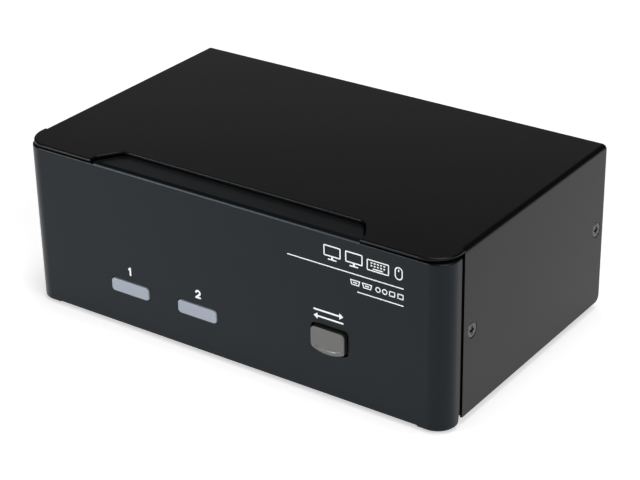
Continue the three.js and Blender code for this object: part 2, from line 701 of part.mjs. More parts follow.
const MATERIALS = {
  coverPaint: finish(0x2a2a2b, 0.5, 0.1),
  bezelPlastic: finish(0x303335, 0.5, 0),
  buttonPlastic: finish(0x777775, 0.45, 0),
  lens: finish(0xa4aab6, 0.3, 0),
  trayPaint: finish(0x232324, 0.55, 0.1),
  zinc: finish(0xa8a9a6, 0.4, 0.9),
  nickel: finish(0xb9b8b2, 0.3, 0.95),
  rubber: finish(0x161616, 0.9, 0),
  board: finish(0x1d5a34, 0.5, 0),
  blackPlastic: finish(0x151515, 0.5, 0),
  whitePlastic: finish(0xe0dfd8, 0.5, 0),
  cable: finish(0x8a8d92, 0.6, 0),
  brass: finish(0xb9974c, 0.35, 0.9),
  screw: finish(0x6c6d6f, 0.35, 0.9),
};

const unit = new THREE.Group();
unit.position.set(0, -(DEPTH + PORT_REACH - BUTTON.proud) / 2, FOOT_DROP);

function add(name, solid, material) {
  const mesh = new THREE.Mesh(geometryOf(solid), material);
  mesh.name = name;
  unit.add(mesh);
}

add("top_cover", topCover(), MATERIALS.coverPaint);
add("chassis_tray", chassisTray(), MATERIALS.trayPaint);
add("front_bezel", frontBezel(), MATERIALS.bezelPlastic);
add("select_button", selectButton(), MATERIALS.buttonPlastic);
add("switch_plunger", switchPlunger(), MATERIALS.blackPlastic);
add("switch_body", switchBody(), MATERIALS.blackPlastic);
WINDOW.xs.forEach((x, i) => {
  add("led_window_" + (i + 1), ledWindow(x), MATERIALS.lens);
  add("status_led_" + (i + 1), statusLed(x), MATERIALS.whitePlastic);
});
add("front_board", frontBoard(), MATERIALS.board);
add("front_header", frontHeader(), MATERIALS.blackPlastic);
add("ribbon_cable", ribbonCable(), MATERIALS.cable);
add("main_header", mainHeader(), MATERIALS.blackPlastic);
add("main_board", mainBoard(), MATERIALS.board);
add("main_chip", mainChip(), MATERIALS.blackPlastic);

const underBoards = [mainTop(), VIDEO_BOARD_ZS[0] + BOARD + SEAT];
ROWS.forEach((row, level) => {
  const bottom = underBoards[level];
  const top = VIDEO_BOARD_ZS[level] - SEAT;
  add("video_board_" + row, videoBoard(VIDEO_BOARD_ZS[level]), MATERIALS.board);
  add("board_link_" + row, boardLink(bottom, top), MATERIALS.blackPlastic);
  [-POST.x, POST.x].forEach((x, i) => {
    add("spacer_" + row + "_" + (i + 1), spacer(x, bottom, top), MATERIALS.brass);
  });
});
[-POST.x, POST.x].forEach((x, i) => add("board_screw_" + (i + 1), boardScrew(x), MATERIALS.zinc));

COLUMNS.forEach(({ name, x }) => {
  ROWS.forEach((row, level) => {
    const boardZ = VIDEO_BOARD_ZS[level];
    add("dvi_" + name + "_" + row, dviPort(x, boardZ), MATERIALS.nickel);
    [-1, 1].forEach((side, i) => {
      const screw = jackscrew(x + side * JACK.x, dviHeight(boardZ));
      add("jackscrew_" + name + "_" + row + "_" + (i + 1), screw, MATERIALS.brass);
    });
  });
  add("audio_" + name, audioPair(x), MATERIALS.blackPlastic);
});
usbPorts().forEach(({ name, kind, x }) => {
  const port = kind === USB_A ? usbStack(x, kind) : usbSquare(x, kind);
  add(name, port, MATERIALS.nickel);
});
add("dc_jack", dcJack(), MATERIALS.blackPlastic);

[-1, 1].forEach((side, i) => COVER_SCREW.ys.forEach((y, j) => {
  add("cover_screw_" + (2 * i + j + 1), coverScrew(side, y), MATERIALS.screw);
}));
[-1, 1].forEach((side, i) => FOOT.ys.forEach((y, j) => {
  add("rubber_foot_" + (2 * i + j + 1), rubberFoot(side * FOOT.x, y), MATERIALS.rubber);
}));

export default unit;
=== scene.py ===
"""The looks of a two-computer KVM switch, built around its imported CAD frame.

Shapes are drawn in millimetres in the unit's own axes: X across the front, Y = 0 at the bezel's face and
growing rearwards, Z = 0 at the cover's lower edge. build() turns them into the frame's metres.
"""

import math

import bmesh
import bpy
from mathutils import Matrix, Vector


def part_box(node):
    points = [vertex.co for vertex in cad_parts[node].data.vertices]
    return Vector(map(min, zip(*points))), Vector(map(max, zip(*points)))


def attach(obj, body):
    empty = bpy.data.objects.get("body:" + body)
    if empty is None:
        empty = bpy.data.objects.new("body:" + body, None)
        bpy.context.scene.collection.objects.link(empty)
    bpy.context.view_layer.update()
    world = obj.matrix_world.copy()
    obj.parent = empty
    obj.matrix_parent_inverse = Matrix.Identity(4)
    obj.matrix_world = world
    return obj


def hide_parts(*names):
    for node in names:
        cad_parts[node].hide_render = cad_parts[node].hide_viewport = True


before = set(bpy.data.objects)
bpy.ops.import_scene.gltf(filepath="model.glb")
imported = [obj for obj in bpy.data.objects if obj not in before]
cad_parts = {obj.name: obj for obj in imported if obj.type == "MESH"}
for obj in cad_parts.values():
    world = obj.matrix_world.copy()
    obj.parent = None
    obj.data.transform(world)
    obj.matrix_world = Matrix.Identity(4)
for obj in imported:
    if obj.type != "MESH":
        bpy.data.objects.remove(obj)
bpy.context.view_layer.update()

CASING = "casing"
BUTTON = "button"
MM = 0.001
ORIGIN = Vector((0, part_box("front_bezel")[0].y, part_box("top_cover")[0].z))
SHARP_ANGLE = math.radians(32)
TO_FRAME = Matrix.Translation(ORIGIN) @ Matrix.Scale(MM, 4)


def node_box(node):
    """A CAD node's lowest and highest corners in the unit's millimetres."""
    low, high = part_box(node)
    return (low - ORIGIN) / MM, (high - ORIGIN) / MM


# ---- Driving sizes, in millimetres ----

# How far a cutter runs past what it cuts.
OVER = 3.0
# Corners of the bezel's mesh closer together than this are made one.
SPECK = 0.03

# The cover: folded sheet, with a lip over the bezel and a notch in the lip.
COVER_LOW, COVER_HIGH = node_box("top_cover")
HALF = COVER_HIGH.x
DEPTH = COVER_HIGH.y
HEIGHT = COVER_HIGH.z
LIP = COVER_LOW.y
SHEET = 1.0
BEND = 2.0
LIP_CORNER = 11.5
LIP_ROUND = 0.75
NOTCH_ROUND = 0.45
EDGE_ROUND = 0.12
SIDE_FRONT = 12.4
SIDE_CORNER = 3.0
NOTCH = {"front": 63.9, "straight": 2.7, "back": 57.8, "depth": 12.2, "corner": 6.4}

# The side screws, and the countersunk holes that they sit in.
SCREW_Z = 34.5
SCREW_YS = (18.4, 115.6)
SCREW_HEAD = 2.95
SCREW_SINK = 0.08
SINK = {"mouth": 3.5, "hole": 1.9, "neck": 1.0, "depth": 3.0}

# The bezel: a hollow moulding with rounded ends, and a tab that fills the cover's notch.
BEZEL_LOW, BEZEL_HIGH = node_box("front_bezel")
BEZEL_CORNER = 8.1
BEZEL_BACK = 10.4
BEZEL_WALL = 2.2
BEZEL_SHOULDER = 67.6
BEZEL_SILL = -0.9
BEZEL_HEEL = 1.9
SILL_HALF = 88.0
TAB = {"front": 63.2, "straight": 2.7, "back": 56.3, "depth": 13.4, "corner": 7.0}
TAB_THICK = 2.0
TAB_BROW = 1.8
LIPS_BACK = 12.6
SIDE_LIP = {"x": 97.4, "half": 0.6, "front": 6, "low": 0.2, "high": 64}

# The status windows and the select button.
WINDOW_XS = (-48.0, -13.9)
WINDOW_Z = 16.3
WINDOW = {"width": 19.1, "height": 5.6, "corner": 1.4, "proud": 0.5}
KEY = {"x": 49.2, "half": 7.6, "top": 28.0, "side": 19.2, "sag": 17.4, "corner": 1.8, "proud": 2.0}
KEY_FACE_THICK = 0.8
WELL_GAP = 0.7


# ---- Outlines ----


def arc(cx, cy, radius, start, end, steps):
    """Points along an arc, angles in degrees."""
    angles = [math.radians(start + (end - start) * i / steps) for i in range(steps + 1)]
    return [(cx + radius * math.cos(a), cy + radius * math.sin(a)) for a in angles]


def circle(cx, cy, radius, steps=64):
    angles = [2 * math.pi * i / steps for i in range(steps)]
    return [(cx + radius * math.cos(a), cy + radius * math.sin(a)) for a in angles]


def rounded(corners, steps=8):
    """A closed outline from (x, y, radius) corners, each rounded by an arc of that radius."""
    outline = []
    for i, (x, y, radius) in enumerate(corners):
        here = Vector((x, y))
        before = (Vector(corners[i - 1][:2]) - here).normalized()
        after = (Vector(corners[(i + 1) % len(corners)][:2]) - here).normalized()
        if radius <= 0:
            outline.append((x, y))
            continue
        half_angle = before.angle(after) / 2
        reach = radius / math.tan(half_angle)
        centre = here + (before + after).normalized() * (radius / math.sin(half_angle))
        first = here + before * reach - centre
        last = here + after * reach - centre
        sweep = first.angle_signed(last)
        for step in range(steps + 1):
            turn = Matrix.Rotation(-sweep * step / steps, 2)
            outline.append(tuple(centre + turn @ first))
    return outline


def rectangle(cx, cy, width, height, radius, steps=8):
    w, h = width / 2, height / 2
    signs = ((1, 1), (-1, 1), (-1, -1), (1, -1))
    return rounded([(cx + sx * w, cy + sy * h, radius) for sx, sy in signs], steps)


def grown(outline, distance):
    """The outline moved outwards by a distance (inwards if negative), point by point."""
    count = len(outline)
    area = sum(
        outline[i - 1][0] * outline[i][1] - outline[i][0] * outline[i - 1][1]
        for i in range(count)
    )
    side = 1 if area > 0 else -1
    moved = []
    for i in range(count):
        here = Vector(outline[i])
        a = here - Vector(outline[i - 1])
        b = Vector(outline[(i + 1) % count]) - here
        normals = [Vector((v.y, -v.x)).normalized() * side for v in (a, b) if v.length > 1e-6]
        total = sum(normals, Vector((0, 0)))
        mitre = total.normalized() * distance / max(0.5, total.length / len(normals))
        moved.append(tuple(here + mitre))
    return moved


def lifted(outline, axis, level):
    """2-D points made 3-D: the outline's own axes are the other two, in X, Y, Z order."""
    if axis == "x":
        return [(level, a, b) for a, b in outline]
    if axis == "y":
        return [(a, level, b) for a, b in outline]
    return [(a, b, level) for a, b in outline]


# ---- Meshes ----


def loft(rings, caps=(True, True)):
    """A closed skin through rings that all have the same number of points."""
    shape = bmesh.new()
    made = [[shape.verts.new(p) for p in ring] for ring in rings]
    for low, high in zip(made, made[1:]):
        for i in range(len(low)):
            shape.faces.new((low[i - 1], low[i], high[i], high[i - 1]))
    if caps[0]:
        shape.faces.new(made[0])
    if caps[1]:
        shape.faces.new(made[-1])
    bmesh.ops.recalc_face_normals(shape, faces=shape.faces)
    return shape


def hoop(rings):
    """A closed skin through rings that comes back to the first one, as a tube's wall does."""
    shape = loft([*rings, rings[0]], caps=(False, False))
    bmesh.ops.remove_doubles(shape, verts=shape.verts, dist=1e-5)
    bmesh.ops.recalc_face_normals(shape, faces=shape.faces)
    return shape


def prism(outline, axis, low, high, low_round=0.0, high_round=0.0, steps=4):
    """An outline pushed along an axis, with either end's edge rounded."""
    rings = []
    for end, radius, inward in ((low, low_round, 1), (high, high_round, -1)):
        part = []
        for step in range(steps + 1):
            angle = math.pi / 2 * step / steps
            inset = radius * (1 - math.sin(angle))
            level = end + inward * radius * (1 - math.cos(angle))
            part.append(lifted(grown(outline, -inset), axis, level))
            if radius <= 0:
                break
        rings += part if inward > 0 else part[::-1]
    return loft(rings)


def turned(profile, axis, centre, steps=32):
    """A solid of revolution from (radius, level) points; the first and last lie near the axis."""
    return loft([lifted(circle(*centre, radius, steps), axis, level) for radius, level in profile])


def block(x, y, z):
    """A box from its (low, high) pairs."""
    corners = [(x[0], y[0]), (x[1], y[0]), (x[1], y[1]), (x[0], y[1])]
    return prism(corners, "z", z[0], z[1])


def merged(*shapes):
    """Several closed skins in one bmesh."""
    whole = bmesh.new()
    for shape in shapes:
        part = bpy.data.meshes.new("part")
        shape.to_mesh(part)
        shape.free()
        whole.from_mesh(part)
        bpy.data.meshes.remove(part)
    return whole


def as_object(shape, name="shape"):
    mesh = bpy.data.meshes.new(name)
    shape.to_mesh(mesh)
    shape.free()
    made = bpy.data.objects.new(name, mesh)
    bpy.context.scene.collection.objects.link(made)
    return made


def combined(base, tools, operation):
    """base with every tool joined to it, cut from it or kept in common, as a bmesh."""
    body = as_object(base)
    for tool in tools:
        other = as_object(tool)
        modifier = body.modifiers.new("bool", "BOOLEAN")
        modifier.operation = operation
        modifier.solver = "EXACT"
        modifier.object = other
        evaluated = body.evaluated_get(bpy.context.evaluated_depsgraph_get())
        result = bpy.data.meshes.new_from_object(evaluated)
        body.modifiers.clear()
        body.data = result
        bpy.data.objects.remove(other)
    shape = bmesh.new()
    shape.from_mesh(body.data)
    bpy.data.objects.remove(body)
    bmesh.ops.remove_doubles(shape, verts=shape.verts, dist=1e-4)
    bmesh.ops.dissolve_limit(
        shape, angle_limit=math.radians(0.2), verts=shape.verts, edges=shape.edges
    )
    return shape


def soften(shape, wanted, width, segments):
    """Rounds the sharp edges for whose middle point wanted(middle) is true."""
    chosen = [
        edge
        for edge in shape.edges
        if len(edge.link_faces) == 2
        and edge.calc_face_angle(0) > math.radians(50)
        and wanted((edge.verts[0].co + edge.verts[1].co) / 2)
    ]
    shares = {"segments": segments, "profile": 0.5, "affect": "EDGES", "clamp_overlap": True}
    bmesh.ops.bevel(shape, geom=chosen, offset=width, **shares)
    return shape


def build(name, shape, material, replaces=(), body=CASING):
    """A finished piece in the frame: smooth where it curves, riding on its body."""
    shape.transform(TO_FRAME)
    if shape.calc_volume(signed=True) < 0:
        bmesh.ops.reverse_faces(shape, faces=shape.faces)
    made = as_object(shape, name)
    for polygon in made.data.polygons:
        polygon.use_smooth = True
    made.data.set_sharp_from_angle(angle=SHARP_ANGLE)
    weighted = made.modifiers.new("normals", "WEIGHTED_NORMAL")
    weighted.keep_sharp = True
    made.data.materials.append(material)
    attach(made, body)
    if replaces:
        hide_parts(*replaces)
    return made


# ---- Materials ----


class Nodes:
    """A material's node tree, with short ways to add and join nodes."""

    def __init__(self, name):
        self.material = bpy.data.materials.new(name)
        self.material.use_nodes = True
        self.tree = self.material.node_tree
        self.shader = self.tree.nodes["Principled BSDF"]

    def add(self, kind, **settings):
        node = self.tree.nodes.new(kind)
        for key, value in settings.items():
            if key in node.inputs:
                node.inputs[key].default_value = value
            else:
                setattr(node, key, value)
        return node

    def join(self, source, target):
        self.tree.links.new(source, target)

    def place(self):
        """Object coordinates, which are the frame's metres."""
        return self.add("ShaderNodeTexCoord").outputs["Object"]

    def noise(self, scale, detail=2.0, rough=0.5):
        node = self.add("ShaderNodeTexNoise", Scale=scale, Detail=detail, Roughness=rough)
        self.join(self.place(), node.inputs["Vector"])
        return node.outputs["Fac"]

    def spread(self, value, low, high):
        """A 0 to 1 value brought to a range."""
        node = self.add("ShaderNodeMapRange")
        node.inputs["To Min"].default_value = low
        node.inputs["To Max"].default_value = high
        self.join(value, node.inputs["Value"])
        return node.outputs["Result"]

    def tint(self, value, dark, light):
        """A 0 to 1 value turned into a colour between two."""
        node = self.add("ShaderNodeMix", data_type="RGBA")
        node.inputs["A"].default_value = (*dark, 1)
        node.inputs["B"].default_value = (*light, 1)
        self.join(value, node.inputs["Factor"])
        return node.outputs["Result"]

    def bumps(self, height, strength, depth):
        node = self.add("ShaderNodeBump", Strength=strength, Distance=depth)
        self.join(height, node.inputs["Height"])
        self.join(node.outputs["Normal"], self.shader.inputs["Normal"])
        return node


def surface(name, dark, light, rough, grain, bump, metallic=0.0, patch=60.0, **sockets):
    """A moulded, painted or metal surface: soft blotches between two colours, and a fine grain.

    rough is the range of roughness, grain and patch are noise scales in waves per metre, and bump is
    the grain's strength and its depth in metres.
    """
    nodes = Nodes(name)
    colour = nodes.tint(nodes.noise(patch, 3.0), dark, light)
    nodes.join(colour, nodes.shader.inputs["Base Color"])
    fine = nodes.noise(grain, 2.0, 0.6)
    nodes.join(nodes.spread(fine, *rough), nodes.shader.inputs["Roughness"])
    nodes.bumps(fine, bump[0], bump[1])
    nodes.shader.inputs["Metallic"].default_value = metallic
    for key, value in sockets.items():
        nodes.shader.inputs[key].default_value = value
    return nodes.material


COVER_PAINT = surface(
    "cover_paint",
    (0.0018, 0.0018, 0.0019),
    (0.0028, 0.0028, 0.0029),
    (0.27, 0.36),
    1500,
    (0.25, 0.00004),
    **{"Specular IOR Level": 0.185},
)
TRAY_PAINT = surface(
    "tray_paint", (0.012, 0.012, 0.0125), (0.016, 0.016, 0.0165), (0.42, 0.55), 1500, (0.3, 0.00004)
)
BEZEL_PLASTIC = surface(
    "bezel_plastic",
    (0.0036, 0.0039, 0.0043),
    (0.0044, 0.0047, 0.0052),
    (0.27, 0.34),
    4200,
    (0.2, 0.00003),
    **{"Specular IOR Level": 0.225, "Specular Tint": (0.72, 0.87, 1.0, 1.0)},
)
BUTTON_PLASTIC = surface(
    "button_plastic", (0.1, 0.099, 0.095), (0.112, 0.111, 0.107), (0.24, 0.32), 4500, (0.2, 0.00003)
)
# Painted shade: the skirt's dark colour stands in for the shadow on the button's side walls deep in its
# well.
SKIRT_SHADE_PLASTIC = surface(
    "skirt_painted_shade", (0.01, 0.011, 0.0085), (0.014, 0.015, 0.012), (0.42, 0.52), 4500, (0.25, 0.00003)
)
LENS = surface(
    "lens_plastic", (0.275, 0.308, 0.365), (0.31, 0.343, 0.40), (0.36, 0.46), 900, (0.08, 0.00003)
)
SCREW_METAL = surface(
    "screw_steel", (0.085, 0.085, 0.087), (0.125, 0.125, 0.128), (0.3, 0.42), 1800, (0.2, 0.00003), 1.0
)
NICKEL = surface(
    "port_nickel", (0.42, 0.41, 0.39), (0.52, 0.51, 0.49), (0.24, 0.34), 600, (0.05, 0.00001), 1.0
)
HEX_NICKEL = surface(
    "jackscrew_nickel", (0.45, 0.44, 0.41), (0.56, 0.55, 0.52), (0.2, 0.3), 900, (0.05, 0.00001), 1.0
)
GOLD = surface(
    "contact_gold", (0.62, 0.42, 0.16), (0.75, 0.54, 0.24), (0.2, 0.3), 1500, (0.05, 0.00001), 1.0
)
BRASS = surface(
    "spacer_brass", (0.5, 0.36, 0.14), (0.64, 0.48, 0.21), (0.24, 0.36), 1300, (0.1, 0.00002), 1.0
)
ZINC = surface(
    "board_screw_zinc", (0.44, 0.45, 0.46), (0.56, 0.57, 0.58), (0.3, 0.42), 1300, (0.15, 0.00002), 1.0
)
BLACK_PLASTIC = surface(
    "black_plastic", (0.009, 0.009, 0.009), (0.014, 0.014, 0.014), (0.4, 0.52), 2600, (0.3, 0.00003)
)
WHITE_PLASTIC = surface(
    "white_plastic", (0.56, 0.56, 0.53), (0.64, 0.64, 0.61), (0.38, 0.48), 2600, (0.2, 0.00003)
)
JACK_PINK = surface("jack_pink", (0.50, 0.10, 0.19), (0.58, 0.13, 0.24), (0.35, 0.45), 2600, (0.2, 0.00003))
JACK_LIME = surface("jack_lime", (0.16, 0.40, 0.07), (0.20, 0.48, 0.10), (0.35, 0.45), 2600, (0.2, 0.00003))
LED_CUP = surface("led_plastic", (0.70, 0.69, 0.62), (0.80, 0.79, 0.72), (0.22, 0.3), 2600, (0.1, 0.00002))
PRINT = surface("white_print", (0.80, 0.82, 0.83), (0.88, 0.90, 0.91), (0.5, 0.6), 5000, (0.1, 0.00001))
RUBBER = surface(
    "foot_rubber", (0.010, 0.010, 0.010), (0.016, 0.016, 0.016), (0.75, 0.9), 1200, (0.5, 0.0001)
)


def board_material():
    """Green solder mask over a grid of copper tracks."""
    nodes = Nodes("circuit_board")
    tracks = nodes.add("ShaderNodeTexBrick", Scale=420.0)
    tracks.inputs["Mortar Size"].default_value = 0.06
    tracks.inputs["Row Height"].default_value = 0.5
    tracks.inputs["Color1"].default_value = (0.004, 0.045, 0.014, 1)
    tracks.inputs["Color2"].default_value = (0.006, 0.060, 0.019, 1)
    tracks.inputs["Mortar"].default_value = (0.016, 0.115, 0.035, 1)
    nodes.join(nodes.place(), tracks.inputs["Vector"])
    nodes.join(tracks.outputs["Color"], nodes.shader.inputs["Base Color"])
    nodes.join(nodes.spread(nodes.noise(900), 0.24, 0.36), nodes.shader.inputs["Roughness"])
    nodes.bumps(tracks.outputs["Fac"], 0.3, 0.00003)
    return nodes.material


def ribbon_material():
    """A flat cable: one rounded ridge for each conductor, across the cable's width."""
    nodes = Nodes("ribbon_sheath")
    conductor_pitch = 1.27
    bands_per_scale = 20 / (2 * math.pi)
    ridge_scale = 1 / (conductor_pitch * MM * bands_per_scale)
    ridges = nodes.add("ShaderNodeTexWave", Scale=ridge_scale, wave_type="BANDS", bands_direction="X")
    nodes.join(nodes.place(), ridges.inputs["Vector"])
    colour = nodes.tint(ridges.outputs["Fac"], (0.17, 0.18, 0.20), (0.30, 0.31, 0.34))
    nodes.join(colour, nodes.shader.inputs["Base Color"])
    nodes.join(nodes.spread(nodes.noise(700), 0.42, 0.55), nodes.shader.inputs["Roughness"])
    nodes.bumps(ridges.outputs["Fac"], 0.8, 0.0003)
    return nodes.material


BOARD_GREEN = board_material()
RIBBON_SHEATH = ribbon_material()


# ---- Camera, light and floor ----

# Angles in degrees, places in the unit's millimetres; lights are placed in the frame's metres.
VIEW_AZIMUTH = 35.343
VIEW_ELEVATION = 26.86
VIEW_ROLL = -1.063
VIEW_DISTANCE = 775.05
VIEW_TARGET = (3.176, 60.0, 26.915)
LENS_MM = 106.6
LIGHT_AIM = (0, 0, 0.03)


def make_camera():
    azimuth, elevation, roll = map(math.radians, (VIEW_AZIMUTH, VIEW_ELEVATION, VIEW_ROLL))
    level = math.cos(elevation)
    back = Vector((math.sin(azimuth) * level, -math.cos(azimuth) * level, math.sin(elevation)))
    right = Vector((math.cos(azimuth), math.sin(azimuth), 0))
    up = back.cross(right)
    turned_right = right * math.cos(roll) + up * math.sin(roll)
    turned_up = up * math.cos(roll) - right * math.sin(roll)
    data = bpy.data.cameras.new("camera")
    data.lens = LENS_MM
    data.sensor_width = 36
    data.sensor_fit = "HORIZONTAL"
    data.clip_start = 0.01
    camera = bpy.data.objects.new("camera", data)
    bpy.context.scene.collection.objects.link(camera)
    axes = Matrix((turned_right, turned_up, back)).transposed().to_4x4()
    place = TO_FRAME @ (Vector(VIEW_TARGET) + back * VIEW_DISTANCE)
    camera.matrix_world = Matrix.Translation(place) @ axes
    bpy.context.scene.camera = camera


def softbox(name, place, size, power):
    """A white rectangular light that faces the unit."""
    data = bpy.data.lights.new(name, "AREA")
    data.shape = "RECTANGLE"
    data.size, data.size_y = size
    data.energy = power
    light = bpy.data.objects.new(name, data)
    bpy.context.scene.collection.objects.link(light)
    light.location = place
    direction = Vector(LIGHT_AIM) - Vector(place)
    light.rotation_euler = direction.to_track_quat("-Z", "Y").to_euler()


def make_floor():
    """A pale floor that glows a little, as a light table does, so that shadows on it stay soft."""
    reach, thick = 12.0, 0.01
    floor = as_object(block((-reach, reach), (-reach, reach), (-thick, 0)), "floor")
    material = surface(
        "floor",
        (0.88, 0.88, 0.88),
        (0.92, 0.92, 0.92),
        (0.7, 0.8),
        300,
        (0.05, 0.0001),
        patch=2.0,
        **{"Emission Color": (1.0, 1.0, 1.0, 1.0), "Emission Strength": 0.46},
    )
    floor.data.materials.append(material)


def make_light():
    world = bpy.data.worlds.new("world")
    bpy.context.scene.world = world
    world.use_nodes = True
    background = world.node_tree.nodes["Background"]
    background.inputs["Color"].default_value = (1, 1, 1, 1)
    background.inputs["Strength"].default_value = 0.03
    softbox("front_left", (-0.96, -1.32, 0.52), (0.6, 0.5), 15)
    softbox("right", (1.29, -0.6, 1.05), (1.0, 0.7), 12)
    softbox("overhead", (0.18, 0.12, 1.8), (0.9, 0.9), 14)
    softbox("rear_glow", (-1.15, 2.0, 0.75), (1.9, 0.7), 1.45)
    bpy.context.scene.view_settings.view_transform = "Standard"


# ---- Casing ----


def plan_outline(half, front, back, radius, steps=20):
    """A plan with its two front corners rounded."""
    return rounded(
        [(half, back, 0), (-half, back, 0), (-half, front, radius), (half, front, radius)], steps
    )


def tongue_outline(sizes, start):
    """The tab's plan, or its notch's: straight sides at the front, which then slant in to the rear edge."""
    front, straight, back = sizes["front"], sizes["straight"], sizes["back"]
    right = [(front, start, 0), (front, straight, 2.0), (back, sizes["depth"], sizes["corner"])]
    return rounded([(-x, y, radius) for x, y, radius in right] + right[::-1])


def arch(half, bottom, top, radius):
    """A cross-section with its two upper corners rounded."""
    return rounded([(-half, bottom, 0), (half, bottom, 0), (half, top, radius), (-half, top, radius)], 10)


def low_corner(back, low, radius, steps):
    """A cutter, right across the unit, that rounds the lower rear edge of what ends at back and low."""
    outline = [(back + OVER, low - OVER), (back + OVER, low + radius)]
    outline += arc(back - radius, low + radius, radius, 0, -90, steps)
    outline += [(back - radius, low - OVER)]
    return prism(outline, "x", -HALF - OVER, HALF + OVER)


def screw_sink(side, y):
    """A cutter for one countersunk hole in a side of the cover."""
    face, axis, past = side * HALF, 0.4, 0.1
    deep = face - side * SINK["depth"]
    neck = face - side * SINK["neck"]
    out = face + side * past
    profile = [(axis, deep), (SINK["hole"], deep), (SINK["hole"], neck), (SINK["mouth"], out), (axis, out)]
    return turned(profile, "x", (y, SCREW_Z))


def mouthed(outline, low, top, radius, steps=6):
    """A cutter for a hole in the cover's top, which leaves the edge round its mouth rounded."""
    rings = [lifted(outline, "z", low)]
    for step in range(steps + 1):
        angle = math.pi / 2 * step / steps
        wide = grown(outline, radius * (1 - math.cos(angle)))
        rings.append(lifted(wide, "z", top - radius * (1 - math.sin(angle))))
    rings.append(lifted(grown(outline, radius), "z", top + 1))
    return loft(rings)


def make_cover():
    """Top and sides, the lip's corners rounded in plan, the notch, the front edges and the screw holes."""
    arched = prism(arch(HALF, 0, HEIGHT, BEND), "y", SIDE_FRONT - SHEET, DEPTH)
    flat = block((-HALF, HALF), (LIP, SIDE_FRONT), (HEIGHT - SHEET, HEIGHT))
    outer = combined(arched, [flat], "UNION")
    inner = prism(arch(HALF - SHEET, -OVER, HEIGHT - SHEET, BEND - SHEET), "y", LIP - OVER, DEPTH + OVER)
    outline = plan_outline(HALF, LIP, DEPTH + OVER, LIP_CORNER)
    hair = 0.01
    plan = prism(outline, "z", -OVER, HEIGHT + hair, 0, LIP_ROUND, 6)
    notch = mouthed(tongue_outline(NOTCH, LIP - OVER), HEIGHT - SHEET - OVER, HEIGHT, NOTCH_ROUND)
    front = block((-HALF - OVER, HALF + OVER), (LIP - OVER, SIDE_FRONT), (-OVER, HEIGHT - SHEET))
    corners = low_corner(DEPTH, 0, SIDE_CORNER, 8)
    shell = combined(outer, [plan], "INTERSECT")
    shell = combined(shell, [inner, notch, front, corners], "DIFFERENCE")
    shell = soften(shell, lambda at: at.z < HEIGHT - SHEET or at.y > DEPTH - 1, EDGE_ROUND, 2)
    sinks = [screw_sink(side, y) for side in (-1, 1) for y in SCREW_YS]
    shell = combined(shell, sinks, "DIFFERENCE")
    build("cover_shell", shell, COVER_PAINT, ["top_cover"])


def flared(outline, mouth, reach, back):
    """A cutter for a hole in the bezel's face, wider by a small chamfer at its mouth."""
    waist, waist_level = mouth * 0.35, reach * 0.4
    rings = [
        lifted(grown(outline, mouth), "y", -1),
        lifted(grown(outline, mouth), "y", 0),
        lifted(grown(outline, waist), "y", waist_level),
        lifted(outline, "y", reach),
        lifted(outline, "y", back),
    ]
    return loft(rings)


def key_outline(grow=0.0, arc_steps=16):
    """The select button's face: flat top and sides, and a lower edge that sags in an arc."""
    w = KEY["half"] + grow
    top, low, sag = KEY["top"] + grow, KEY["side"] - grow, KEY["sag"] - grow
    dip = low - sag
    radius = (w * w + dip * dip) / (2 * dip)
    swing = math.degrees(math.asin(w / radius))
    bottom = arc(KEY["x"], sag + radius, radius, -90 - swing, -90 + swing, arc_steps)
    corner = KEY["corner"]
    low_corner_radius = corner * 0.8
    shape = [(*bottom[0], low_corner_radius)]
    shape += [(*p, 0) for p in bottom[2:-2]]
    shape += [(*bottom[-1], low_corner_radius), (KEY["x"] + w, top, corner), (KEY["x"] - w, top, corner)]
    return rounded(shape, 8)


def window_outline(x, grow=0.0):
    """A status window's outline, grown on every side."""
    corner = max(0.2, WINDOW["corner"] + grow)
    return rectangle(x, WINDOW_Z, WINDOW["width"] + 2 * grow, WINDOW["height"] + 2 * grow, corner)


def make_tab():
    """The bezel's tab in the cover's notch, with a well-rounded front edge."""
    top = BEZEL_HIGH.z
    plan = prism(tongue_outline(TAB, 0), "z", top - TAB_THICK, top)
    plan = soften(plan, lambda at: at.z > top - 0.1 and at.y > 0.5, 0.3, 3)
    low = top - TAB_THICK - 1
    side = [(TAB["depth"] + 1, top), (TAB["depth"] + 1, low), (0, low)]
    side += arc(TAB_BROW, top - TAB_BROW, TAB_BROW, 180, 90, 10)
    brow = prism(side, "x", -TAB["front"] - 1, TAB["front"] + 1)
    return combined(plan, [brow], "INTERSECT")


